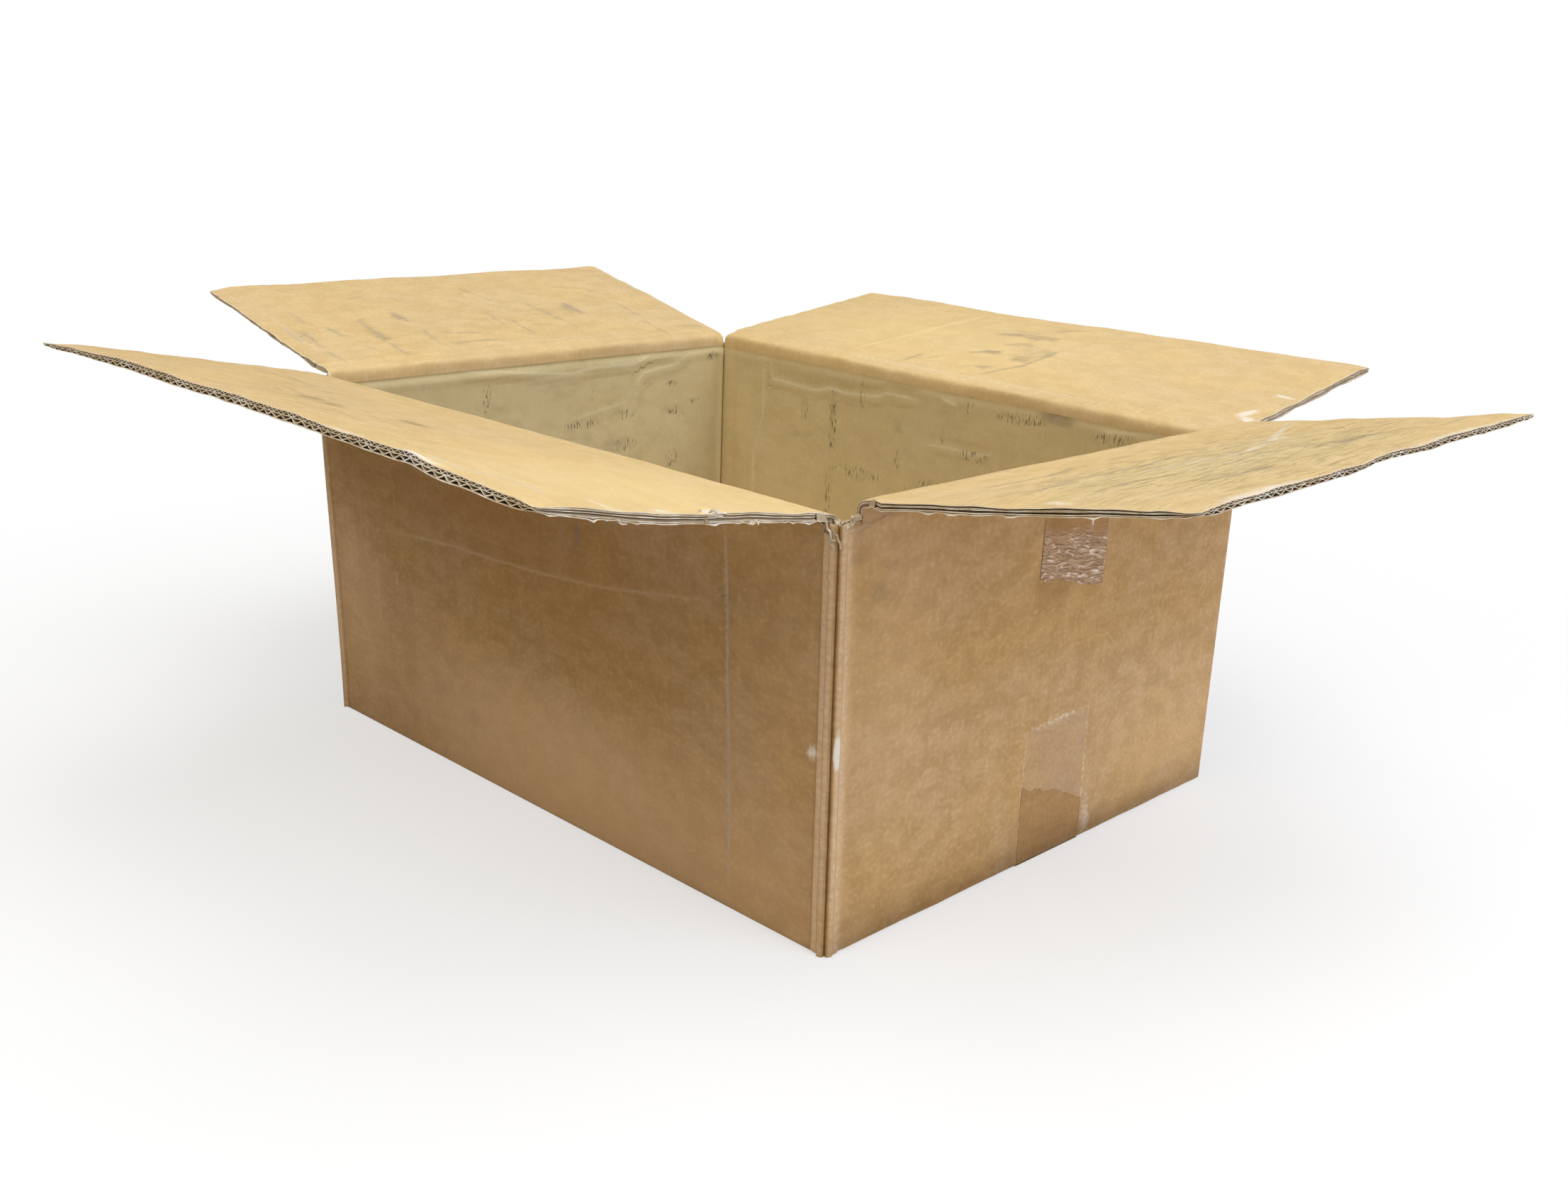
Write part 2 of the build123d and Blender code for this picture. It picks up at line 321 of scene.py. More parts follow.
DASHES = {
    "left_wall_in": [
        (41, 160, 3, 12, 0.8, 0), (-33, 158, 3, 6, 0.6, 0), (-58, 143, 9, 3, 0.9, 0), (-25, 140, 14, 2.6, 1.0, 0),
        (-57, 124, 10, 4, 0.8, 0), (-95, 111, 5, 6, 0.8, 20), (-98, 141, 9, 2.6, 1.0, 20), (-113, 146, 8, 1.6, 0.8, 0),
        (-75, 159, 5, 1.8, 0.7, 0), (-95, 158, 5, 2.4, 0.8, 0), (-128, 173, 5, 3.5, 0.8, 0), (20, 130, 12, 3, 0.5, 0),
    ],
    "back_wall_in": [
        (82, 146, 3, 20, 1.0, 0), (106, 149, 2.5, 7, 0.7, 0), (59, 165, 2, 13, 0.8, 0), (-21, 172, 1.8, 12, 0.9, 0),
        (-57, 169, 16, 3, 1.1, -4), (-117, 168, 13, 3, 1.0, -4), (-26, 143, 12, 3, 0.8, 0), (29, 132, 2, 6, 1.0, 0),
        (-4, 150, 1.5, 6, 0.7, 0), (60, 118, 20, 4, 0.7, 0), (0, 120, 16, 4, 0.7, 0), (84, 100, 3, 16, 0.7, 0),
        (-60, 140, 12, 3, 0.7, 0), (-90, 128, 14, 4, 0.7, 0), (20, 104, 4, 14, 0.6, 0), (-40, 112, 14, 4, 0.6, 0),
    ],
}
# Broad changes of tone: lighter above 0; below 0 warmer on the outer liner and greyer on the inner one. On the front
# and right walls and on the front flap they are painted light and painted shade, darker under the flaps and lighter low
# down; on the inner walls the grey is painted shade of the box's inside.
PAINTED_LIGHT_AND_TINTS = {
    "front_wall": [
        (20, 10, 150, 62, 0.55, -6), (-158, 70, 26, 60, 0.25, 0), (150, 90, 40, 110, 0.12, 0),
        (-110, 156, 110, 34, -0.7, 0), (10, 128, 90, 50, -0.6, 0),
    ],
    "right_wall": [(112, 20, 70, 50, 0.15, 0), (-112, 120, 30, 70, 0.15, 0)],
    "front_flap": [(150, 70, 60, 90, 0.3, 0)],
    "back_flap": [(60, 60, 130, 70, 0.25, 0)],
    # Painted shade: the inner walls are greyer because the inside of the box is in shade
    "left_wall_in": [(0, 90, 400, 400, -0.75, 0)],
    "back_wall_in": [(0, 90, 500, 400, -0.6, 0)],
    "right_flap": [(-20, 90, 120, 44, -0.3, 0)],
}
# Darker and warmer shades
DARKS = {"right_wall": [(7, 40, 24, 30, 0.12, 0)]}
WRINKLES = {
    "right_flap": [(-40, 100, 100, 50, 1.2, 0), (70, 70, 70, 44, 1.1, 0), (-60, 50, 70, 24, 0.8, 0)],
    "front_flap": [(-20, 96, 64, 18, 1.1, 8), (120, 120, 60, 14, 0.3, 0), (-100, 60, 60, 14, 0.5, 8)],
    "left_flap": [(20, 50, 90, 30, 0.35, 0)],
}


def spots(named, face, u, v):
    """Sum of the soft spots that a face has in one of the lists above."""
    total = np.zeros(np.broadcast(u, v).shape)
    for u0, v0, half_u, half_v, strength, turn in named.get(face, ()):
        c, s = cos(radians(turn)), sin(radians(turn))
        along = ((u - u0) * c + (v - v0) * s) / half_u
        across = ((v - v0) * c - (u - u0) * s) / half_v
        total = total + strength * np.exp(-((along**2 + across**2) ** 1.4))
    return total


def wear(face, u, v, w):
    """The attributes that the paper's material reads, for points of one side of a panel.

    marks: pale scuffs; grey smudges, and painted shade as the broad grey over the inner left wall; dark stains, and
    painted shade in the grooves of the folded corners; and broad painted light and shade, with some tints.
    crease: signed distance from the nearest crease in mm, its strength and tone. wear: fine wrinkles along u, dirt in
    small dashes, and the distance inside the stripped patch.
    """
    u, v = np.broadcast_arrays(u + 0.0, v + 0.0)
    distance, strength, tone = np.full(u.shape, FAR), np.zeros(u.shape), np.zeros(u.shape)
    for points, strong, shade in CREASES.get(face, ()):
        d, along = to_line(u, v, points)
        nearer = np.abs(d) < np.abs(distance)
        fade = smooth(0, 0.12, along) * smooth(0, 0.12, 1 - along) * (1 - smooth(3, 7, np.abs(d)))
        distance = np.where(nearer, d, distance)
        strength = np.where(nearer, strong * fade, strength)
        tone = np.where(nearer, shade, tone)
    pale, grey = spots(PALE_SPOTS, face, u, v), spots(GREY_SPOTS, face, u, v)
    # The fourth mark is broad painted light and painted shade, with some tints
    dark, painted_light_and_tint = spots(DARKS, face, u, v), spots(PAINTED_LIGHT_AND_TINTS, face, u, v)
    wrinkle, dashes = spots(WRINKLES, face, u, v), spots(DASHES, face, u, v)
    patch = np.full(u.shape, -FAR)
    if face == "right_wall":
        top = 66 + 2 * u / 50
        patch = np.minimum.reduce([u - TAPE_SIDES[0], TAPE_SIDES[1] - u, top - v, v + 5.0])
        ragged = 2.5 * waves(u, 0, 9, 87)
        stain = smooth(-18, -16, u) * smooth(12, 5, u + ragged) * smooth(120, 127, v + ragged) * smooth(142, 138, v)
        dark = dark + 0.26 * stain
    patch = np.clip(patch, -FAR, FAR)
    return {
        "panel": np.stack(np.broadcast_arrays(u, v, w), -1),
        "marks": np.stack([pale, grey, dark, painted_light_and_tint], -1),
        "crease": np.stack([distance, strength, tone], -1),
        "wear": np.stack([wrinkle, dashes, patch], -1),
    }


# Mesh building

OUTSIDE, INSIDE, CUT, FLUTE = range(4)      # material slots of a piece of board


def block(points, filled):
    """The faces of the filled cells of a (u, v, w) grid of points, wherever the neighbour is empty.

    Returns the faces as point numbers, and for each face the axis and side that it looks to.
    """
    nu, nv, nw = filled.shape
    index = np.arange((nu + 1) * (nv + 1) * (nw + 1)).reshape(nu + 1, nv + 1, nw + 1)
    around = np.pad(filled, 1)
    faces, looks = [], []
    for axis in range(3):
        second, third = (axis + 1) % 3, (axis + 2) % 3
        for side in (0, 1):
            beside = np.roll(around, 1 - 2 * side, axis)[1:-1, 1:-1, 1:-1]
            cells = np.argwhere(filled & ~beside)
            if not len(cells):
                continue
            base = cells.copy()
            base[:, axis] += side
            ring = []
            for step_second, step_third in ((0, 0), (1, 0), (1, 1), (0, 1)):
                corner = base.copy()
                corner[:, second] += step_second
                corner[:, third] += step_third
                ring.append(index[corner[:, 0], corner[:, 1], corner[:, 2]])
            quads = np.stack(ring, 1)
            if side == 0:
                quads = quads[:, ::-1]
            faces.append(quads)
            looks.append(np.tile((axis, side), (len(quads), 1)))
    return np.concatenate(faces), np.concatenate(looks)


def board_slots(looks):
    """The material slot of each face of a board: one for each liner, and one for all that is cut."""
    return np.where(looks[:, 0] == 2, looks[:, 1], CUT)


class Shell:
    """Gathers blocks of mesh, with the attributes that their materials read."""

    def __init__(self):
        self.points, self.attributes, self.faces, self.slots = [], [], [], []
        self.count = 0

    def add(self, points, attributes, faces, slots):
        used, inverse = np.unique(faces, return_inverse=True)
        faces = inverse.reshape(faces.shape)
        points = points.reshape(-1, 3)[used]
        a, b, c, d = (points[faces[:, i]] for i in range(4))
        volume = np.einsum("ij,ij->i", a, np.cross(b, c)) + np.einsum("ij,ij->i", a, np.cross(c, d))
        if volume.sum() < 0:
            faces = faces[:, ::-1]
        self.points.append(points)
        self.attributes.append({key: value.reshape(-1, value.shape[-1])[used] for key, value in attributes.items()})
        self.faces.append(faces + self.count)
        self.slots.append(np.broadcast_to(slots, len(faces)))
        self.count += len(used)

    def piece(self, name, materials, sharp=35):
        """Make the Blender object."""
        points = np.concatenate(self.points) * MM
        faces = np.concatenate(self.faces)
        mesh = bpy.data.meshes.new(name)
        mesh.vertices.add(len(points))
        mesh.vertices.foreach_set("co", points.astype(np.float32).ravel())
        mesh.loops.add(faces.size)
        mesh.loops.foreach_set("vertex_index", faces.astype(np.int32).ravel())
        mesh.polygons.add(len(faces))
        mesh.polygons.foreach_set("loop_start", np.arange(0, faces.size, 4, dtype=np.int32))
        mesh.polygons.foreach_set("material_index", np.concatenate(self.slots).astype(np.int32))
        mesh.update(calc_edges=True)
        mesh.validate()
        for key in self.attributes[0]:
            values = np.concatenate([part[key] for part in self.attributes]).astype(np.float32)
            if values.shape[1] == 4:
                mesh.attributes.new(key, "FLOAT_COLOR", "POINT").data.foreach_set("color", values.ravel())
            else:
                mesh.attributes.new(key, "FLOAT_VECTOR", "POINT").data.foreach_set("vector", values.ravel())
        mesh.shade_smooth()
        mesh.set_sharp_from_angle(angle=radians(sharp))
        for material in materials:
            mesh.materials.append(material)
        made = bpy.data.objects.new(name, mesh)
        bpy.context.scene.collection.objects.link(made)
        return made


# Which way each panel faces, and where its fold is
class Panel:
    def __init__(self, name, outward, face, half):
        self.outward = vec(*outward)
        self.along = np.cross(UP, self.outward)
        self.face = face
        self.fold = HINGES[name]["pos_m"][2] / MM
        self.half = half
        self.rise = radians(180 - HINGES[name]["range_deg"][1])
        self.reach = self.outward * cos(self.rise) + UP * sin(self.rise)
        self.top = UP * cos(self.rise) - self.outward * sin(self.rise)

    def on_flap(self, u, v, w):
        """A point of the flap as it rests, from its panel coordinates."""
        origin = self.outward * self.face + UP * self.fold
        return origin + u[..., None] * self.along + v[..., None] * self.reach + w[..., None] * self.top


PANELS = {
    "front_flap": Panel("front_flap", (0, -1, 0), WIDTH / 2, SIDE_HALF),
    "right_flap": Panel("right_flap", (1, 0, 0), LENGTH / 2, END_HALF),
    "left_flap": Panel("left_flap", (-1, 0, 0), LENGTH / 2, END_HALF),
    "back_flap": Panel("back_flap", (0, 1, 0), WIDTH / 2, SIDE_HALF),
}

# How each flap has gone out of shape: its real depth, how far its free edge has slid along the fold, the twist, which
# is how many degrees higher it stands at its left end than at its right end, how round its two corners are worn, by how
# much it narrows at the fold on each side, and how many millimetres its free edge hangs below its joint's angle
FLAP_SHAPE = {
    "front_flap": dict(depth=142.4, slide=6.9, twist=2.08, worn=(1.5, 7.0), narrowed=(4.0, 0.5), droop=-0.6),
    "right_flap": dict(depth=136.3, slide=5.0, twist=-0.44, worn=(5.0, 2.0), narrowed=(11.0, 4.0), droop=0.8),
    "left_flap": dict(depth=140.9, slide=-4.3, twist=0.33, worn=(1.0, 1.5), narrowed=(1.0, 4.0), droop=0.7),
    "back_flap": dict(depth=134.9, slide=-5.0, twist=-0.53, worn=(1.0, 1.5), narrowed=(4.0, 4.0), droop=-0.1),
}


def flap_lift(name, u, v):
    """Arches, sags and kinks that only one flap has, in mm upwards."""
    out = smooth(0, 1, v / FLAP_DEPTH)
    edge = smooth(0.7, 1, v / FLAP_DEPTH)
    if name == "front_flap":
        arch = 2.4 * smooth(-181, -98, u) * smooth(181, 108, u) + 0.7 * bell(u - 12, 50)
        kink = 0.7 * bell(u - 114, 7) - 0.6 * bell(u - 131, 9)
        sag = 2.4 * bell(v - 88, 38) + 0.8 * bell(v - 16, 34)
        return arch * out + kink * edge - sag * smooth(0.35, 1, u / SIDE_HALF)
    if name == "right_flap":
        blisters = bell(np.hypot(u + 131, v - 81), 2.6) + bell(np.hypot(u + 129, v - 93), 2.6)
        wave = 0.1 * smooth(-30, -130, u) + 1.6 * smooth(-31, -6, u) - 0.4 * bell(u - 30, 14) - 0.4 * bell(u - 92, 16)
        crushed = smooth(-0.8, -1, u / END_HALF) * bell(v - 95, 45)
        return edge * (wave - 0.5) + 0.9 * blisters - 1.2 * crushed
    if name == "back_flap":
        return 0.35 * np.tanh((u - 75) / 2.5) - 1.2 * bell(u - 63, 45) * out
    return 0.5 * smooth(0, -140, u) * out


def flap_form(name, u, v, w):
    """Where a point of a flat flap ends up once the flap is bowed, crushed and worn. Still in panel coordinates."""
    panel = PANELS[name]
    shape = FLAP_SHAPE[name]
    out = np.clip(v / FLAP_DEPTH, 0, 1.05)
    side = u / panel.half
    seed = 100 + sum(map(ord, name))

    # Corners worn round
    radius = np.where(u < 0, shape["worn"][0], shape["worn"][1])
    a = np.clip(1 - (panel.half - np.abs(u)) / radius, 0, 1)
    b = np.clip(1 - (FLAP_DEPTH - v) / radius, 0, 1)
    worn_u = u - np.sign(u) * radius * a * (1 - np.sqrt(1 - b * b / 2))
    worn_v = v - radius * b * (1 - np.sqrt(1 - a * a / 2))

    # Narrowed at the fold
    narrowed = np.where(u < 0, shape["narrowed"][0], shape["narrowed"][1])
    chamfer = narrowed * np.clip(1 - v / (3 + narrowed), 0, 1)
    near_side = np.clip((np.abs(u) - (panel.half - 18)) / 18, 0, 1)
    new_u = worn_u - np.sign(u) * near_side * chamfer + shape["slide"] * out

    # Its length from the fold, with an edge that isn't quite straight
    ragged = 0.35 * waves(u, w * 3, 30, seed) + 0.16 * waves(u, w * 5, 5, seed + 1)
    new_v = worn_v * (1 + (shape["depth"] / FLAP_DEPTH - 1) * smooth(0, 1, out)) + ragged * smooth(0.9, 1, out)
    side_ragged = 0.4 * waves(v, w * 3, 24, seed + 2) + 0.22 * waves(v, w * 4, 6, seed + 6)
    new_u = new_u + side_ragged * smooth(0.95, 1, np.abs(side)) * np.sign(u)
    near_flap = name in ("front_flap", "right_flap")
    tatter = np.clip(waves(v, 0 * v, 8, seed + 9) - 0.3, 0, 1) * smooth(0.8, 0.2, w) * smooth(0.985, 1, np.abs(side))
    tatter = tatter * near_flap
    new_u = new_u + 1.2 * tatter * np.sign(u)

    # The board is pressed thinner at its cut corners and beside the fold
    corner = smooth(0.93, 1.0, np.abs(side)) * smooth(0.9, 1.0, out)
    pressed = 1 - (0.38 if near_flap else 0.1) * corner - 0.1 * bell(FLAP_DEPTH - v, 2.5) - 0.2 * bell(v - 3, 6)
    pressed = pressed - 0.09 * waves(u, v, 28, seed + 3) * smooth(0.85, 1, np.maximum(out, np.abs(side)))
    pressed = pressed - 0.12 * (1 + waves(0 * u, v, 17, seed + 8)) * smooth(0.95, 1, np.abs(side))
    if name == "front_flap":
        pressed = pressed - 0.35 * smooth(-90, -150, u) * smooth(0.9, 1, out)
    if name == "right_flap":
        pressed = pressed - 0.2 * smooth(-0.88, -1, side) * smooth(0.02, 0.3, out) * smooth(1.0, 0.86, out)
        pressed = pressed - (0.28 + 0.12 * waves(u, 0 * v, 26, 91)) * smooth(0.88, 0.97, out)
    if name == "left_flap":
        pressed = pressed - 0.5 * smooth(0.9, 1, side) * smooth(0.02, 0.2, out)
    new_w = (w - BOARD / 2) * np.clip(pressed, 0.3, 1.05) + BOARD / 2 - 0.9 * tatter

    # Bowed and rippled as a whole
    lift = np.tan(radians(shape["twist"] / 2)) * v * -side
    lift = lift + 0.3 * waves(u, v, 60, seed + 5) * smooth(0.03, 0.6, out)
    lift = lift + 0.1 * waves(u, v, 16, seed + 7) * smooth(0.05, 0.2, out)
    lift = lift + 0.5 * bell(v - 8, 2.4) - shape["droop"] * out + fold_lift(name, u) * (1 - smooth(0, 1, out))
    new_w = new_w + lift + flap_lift(name, u, v)
    return new_u, new_v, new_w


def flap_wear(name, u, v, w):
    """Wear of a flap: its upper side has the marks in the lists, and its cut edges are scuffed pale."""
    found = wear(name, u, v, w)
    cut = np.minimum(FLAP_DEPTH - v, PANELS[name].half - np.abs(u))
    upper = ((w > BOARD / 2) | (cut < 0.5))[..., None]
    for key in ("marks", "crease", "wear"):
        found[key] = np.where(upper, found[key], 0)
    found["wear"][..., 2] = -FAR
    found["marks"][..., 0] += 0.45 * bell(cut, 1.1)
    return found


def layered_board(shell, form, attributes, half, us, vs, open_sides, fold_bevel=True):
    """A panel of board with its layers open to view along its free edge and, if asked, along its cut sides.

    form(u, v, w) gives the final points, and attributes(u, v, w) what their material reads.
    """
    depth = vs[-1]
    levels = np.array([0, OUTER_LINER, INNER_LINER, BOARD])
    u, v, w = np.meshgrid(us, vs, levels, indexing="ij")
    if fold_bevel:
        start = FOLD_TIP + w
        v = np.where(v < BEVELLED, start + (BEVELLED - start) * v / BEVELLED, v)
    filled = np.ones((len(us) - 1, len(vs) - 1, 3), bool)
    mid_u, mid_v = (us[1:] + us[:-1]) / 2, (vs[1:] + vs[:-1]) / 2
    inside = (mid_v[None, :] < depth - OPEN_DEPTH) & (np.abs(mid_u)[:, None] < half - OPEN_DEPTH * open_sides)
    filled[:, :, 1] = inside | (mid_v[None, :] < SEALED)
    faces, looks = block(u, filled)
    # What looks into the board is flute paper
    level = (np.arange(u.size) % len(levels))[faces].mean(1)
    slots = np.where((level > 0.9) & (level < 2.1), FLUTE, board_slots(looks))
    shell.add(form(u, v, w), attributes(u, v, w), faces, slots)

    def sheet(fine, height, thickness, slope):
        """One sheet between the liners, only near the cut edges."""
        u, v, side = np.meshgrid(fine, vs, np.array([-0.5, 0.5]), indexing="ij")
        tilt = slope(u, v)
        across = thickness / np.sqrt(1 + tilt**2)
        w = height(u, v) + side * across
        flat_u = u - side * across * tilt
        mid_u, mid_v = (fine[1:] + fine[:-1]) / 2, (vs[1:] + vs[:-1]) / 2
        kept = (mid_v[None, :] > depth - OPEN_DEPTH) | (np.abs(mid_u)[:, None] > half - OPEN_DEPTH * open_sides)
        kept = kept & (mid_v[None, :] > SEALED)
        faces, looks = block(u, kept[:, :, None])
        slots = np.where(looks[:, 0] == 2, FLUTE, CUT)
        setback = 0.1 + 0.12 * waves(u, w, 9, 5)
        v = v - setback * (v > depth - 0.5)
        shell.add(form(flat_u, v, w), attributes(flat_u, v, 0 * w), faces, slots)

    low, high = OUTER_LINER, MIDDLE_LINER[0]

    def large_phase(u, v):
        return 2 * pi * u / LARGE_PITCH + 0.35 * waves(u, 0 * u, 37, 11) + 0.12 * waves(u, 0 * u, 8, 12)

    def large_height(u, v):
        wave = np.arcsin(0.94 * np.cos(large_phase(u, v))) / np.arcsin(0.94)
        return (low + high) / 2 + (high - low - 0.7 * LARGE_FLUTE_PAPER) / 2 * wave

    def slope_of(height):
        def slope(u, v):
            step = 0.02
            return (height(u + step, v) - height(u - step, v)) / (2 * step)
        return slope

    def middle_height(u, v):
        sag = 0.5 - 0.5 * np.cos(large_phase(u, v))
        return (MIDDLE_LINER[0] + MIDDLE_LINER[1]) / 2 - 0.2 * sag

    def small_height(u, v):
        phase = 2 * pi * u / SMALL_PITCH + 0.6 * waves(u, 0 * u, 21, 13)
        base = middle_height(u, v) + (MIDDLE_LINER[1] - MIDDLE_LINER[0]) / 2
        wave = 0.5 + 0.5 * np.sin(phase)
        return base + SMALL_FLUTE_PAPER / 2 + (INNER_LINER - base - SMALL_FLUTE_PAPER) * wave

    edges = [-half, half]
    sheet(spaced(*edges, LARGE_PITCH / 14), large_height, LARGE_FLUTE_PAPER, slope_of(large_height))
    sheet(spaced(*edges, 0.9), middle_height, MIDDLE_LINER[1] - MIDDLE_LINER[0], slope_of(middle_height))
    sheet(spaced(*edges, SMALL_PITCH / 11), small_height, SMALL_FLUTE_PAPER, slope_of(small_height))


def flap_rows():
    """Distances from the fold at which a flap's grid has a row."""
    near_fold = [0.0, 1.5, 3.2, 5.0, 6.5, 8.0, 10.0, BEVELLED]
    middle = list(np.linspace(BEVELLED, FLAP_DEPTH - OPEN_DEPTH, 56))[1:]
    edge = [FLAP_DEPTH - 4.5, FLAP_DEPTH - 2.2, FLAP_DEPTH - 0.9, FLAP_DEPTH]
    return np.array(near_fold + middle + edge)


def make_flap(name, materials):
    panel = PANELS[name]
    shell = Shell()

    def form(u, v, w):
        return out_of_square(panel.on_flap(*flap_form(name, u, v, w)))

    def attributes(u, v, w):
        return flap_wear(name, u, v, w)

    inset = panel.half - OPEN_DEPTH
    us = spaced(-panel.half, panel.half, LARGE_PITCH / 2.5, -inset, inset, 1.5 - panel.half, panel.half - 1.5)
    layered_board(shell, form, attributes, panel.half, us, flap_rows(), True)
    made = shell.piece(name + "_board", materials)
    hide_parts(name)
    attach(made, name)


# The walls: one long strip of board, from the glued tab round to the cut edge of the right wall


def wall_columns():
    """Plan of the strip, column by column: outer point, inner point, outward direction, panel and u."""
    columns = []
    c = CORNER
    x, y = LENGTH / 2, WIDTH / 2
    fine = [0.5, 1.0, 1.6, 2.4, 3.4, 4.8, 6.8, 9.5]

    def straight(name, outward, face, start, end, step, extra=()):
        outward = vec(*outward)
        along = np.cross(UP, outward)
        marks_at = [start + f for f in fine] + [end - f for f in fine] + list(extra)
        for u in spaced(start, end, step, *marks_at):
            outer = outward * face + along * u
            columns.append((outer, outer - outward * BOARD, outward, name, u, 0.0))

    def corner(centre, turn, name):
        for angle in np.linspace(0, 90, 19)[1:-1]:
            a = radians(turn + angle)
            out = vec(cos(a), sin(a), 0)
            outer = vec(*centre, 0) + out * c
            inner = vec(*centre, 0) + out * (c - BOARD)
            columns.append((outer, inner, out, name, radians(angle - 45) * c, 1.0))

    slot_side, slot_end = ([-h - 0.05, -h + 0.05, h - 0.05, h + 0.05] for h in (SIDE_HALF, END_HALF))
    torn_end = TORN_END["right_flap"] - END_HALF
    straight("tab", (1, 0, 0), SEAM_X, y - BOARD - TAB, y - c, 2.6)
    corner((SEAM_X - c, y - c), 0, "seam_corner")
    straight("back_wall", (0, 1, 0), y, c - SEAM_X, x - c, 2.7, slot_side)
    corner((c - x, y - c), 90, "far_corner")
    straight("left_wall", (-1, 0, 0), x, c - y, y - c, 2.7, slot_end)
    corner((c - x, c - y), 180, "left_corner")
    straight("front_wall", (0, -1, 0), y, c - x, x - c, 2.7, slot_side)
    corner((x - c, c - y), 270, "near_corner")
    straight("right_wall", (1, 0, 0), x, c - y, y, 2.7, [*slot_end[2:], torn_end - 0.05, torn_end + 0.05])
    return columns


def corner_relief(q):
    """Outward offset across a folded corner: two flat ridges and a pressed groove between them."""
    ridge = 0.55 * smooth(7.2, 5.6, np.abs(q))
    groove = -1.2 * bell(q, 0.48)
    border = -0.3 * bell(np.abs(q) - 7.6, 1.0)
    return ridge + groove + border


def corner_wear(q, soft, found):
    """The ridges are paler and finely wrinkled, and the groove and the ridges' border get painted shade. A soft ridge
    fades out without a border.
    """
    end, start = (12.0, 3.0) if soft else (6.8, 6.0)
    found["marks"][..., 0] += 0.26 * smooth(end, start, np.abs(q)) * smooth(0.8, 1.6, np.abs(q))
    found["marks"][..., 3] += 0.35 * smooth(end, start, np.abs(q)) * smooth(0.8, 1.6, np.abs(q))
    # Painted shade: darker in the pressed groove, and along the ridges' border unless the ridge is soft
    found["marks"][..., 2] += 0.8 * bell(q, 0.38) + (0 if soft else 0.25) * bell(np.abs(q) - 7.2, 0.8)
    found["wear"][..., 0] += 0.3 * smooth(7, 5, np.abs(q)) * smooth(0.5, 1.5, np.abs(q))


def wall_rows():
    """Shares of a wall's height at which its grid has a row, close together near both ends."""
    low = [0.0, 0.3, 0.8, 1.4]
    high = [175.0, 177.0, 178.5, 180.0, 181.2, 182.1, 182.7]
    middle = list(np.linspace(low[-1], high[0], 66))[1:-1]
    return np.array(low + middle + high) / high[-1]


def from_corner(name, u):
    """Distance along the board from the middle line of the nearest folded corner."""
    flat_half = (LENGTH if name in SIDE_WALLS else WIDTH) / 2 - CORNER
    return flat_half - np.abs(u) + CORNER * pi / 4


def wall_offset(name, u, z, top, inside):
    """How far a point of a straight wall lies outwards of the wall's flat face."""
    is_end = name in END_WALLS
    q = from_corner(name, u)
    fade = smooth(3.5, 16, q)
    ridge = 1 - ((name == "right_wall") & (u > 0))
    offset = 0.8 * waves(u, z, 210, 51 + len(name)) * bell(u, 150) * smooth(0, 60, z) * fade
    if not inside:
        offset = offset + corner_relief(q) * ridge
        offset = offset + (0.16 * waves(u, z, 46, 31) + 0.06 * waves(u, z, 13, 32)) * fade
        offset = offset - 0.6 * bell(z - top, 1.1)
        roll, base = (END_ROLL, END_BASE) if is_end else (SIDE_ROLL, SIDE_BASE)
        rounding = np.clip(roll - (z - base), 0, roll)
        offset = offset - (roll - np.sqrt(roll**2 - rounding**2))
    else:
        offset = offset - (0.2 * waves(u, z, 40, 41) + 0.07 * waves(u, z, 11, 42)) * fade
        ledge = 0.3 if name == "back_wall" else 1.0
        offset = offset + ledge * (0.7 * bell(z - top + 1.0, 1.2) - 0.45 * bell(z - top + 5.0, 1.6))
        if is_end:
            # A soft bead of board beside the folded corner
            offset = offset - 1.5 * bell(q - CORNER * pi / 4 - 1.4, 1.5)
        else:
            offset = offset + 0.5 * bell(q - 13.5, 3.0)
    return offset


def flap_of(name):
    """The flap that folds off a wall."""
    return name.replace("wall", "flap")


def wall_outside(name, u, z):
    """Points of the outer face of a straight wall."""
    panel = WALLS[name]
    offset = wall_offset(name, u, z, panel.fold + fold_lift(flap_of(name), u) - FOLD_TIP, False)
    flat = panel.outward * (panel.face + offset)[..., None]
    return out_of_square(flat + panel.along * u[..., None] + UP * z[..., None])


def board_face(name, inside):
    return name + "_in" if inside else name


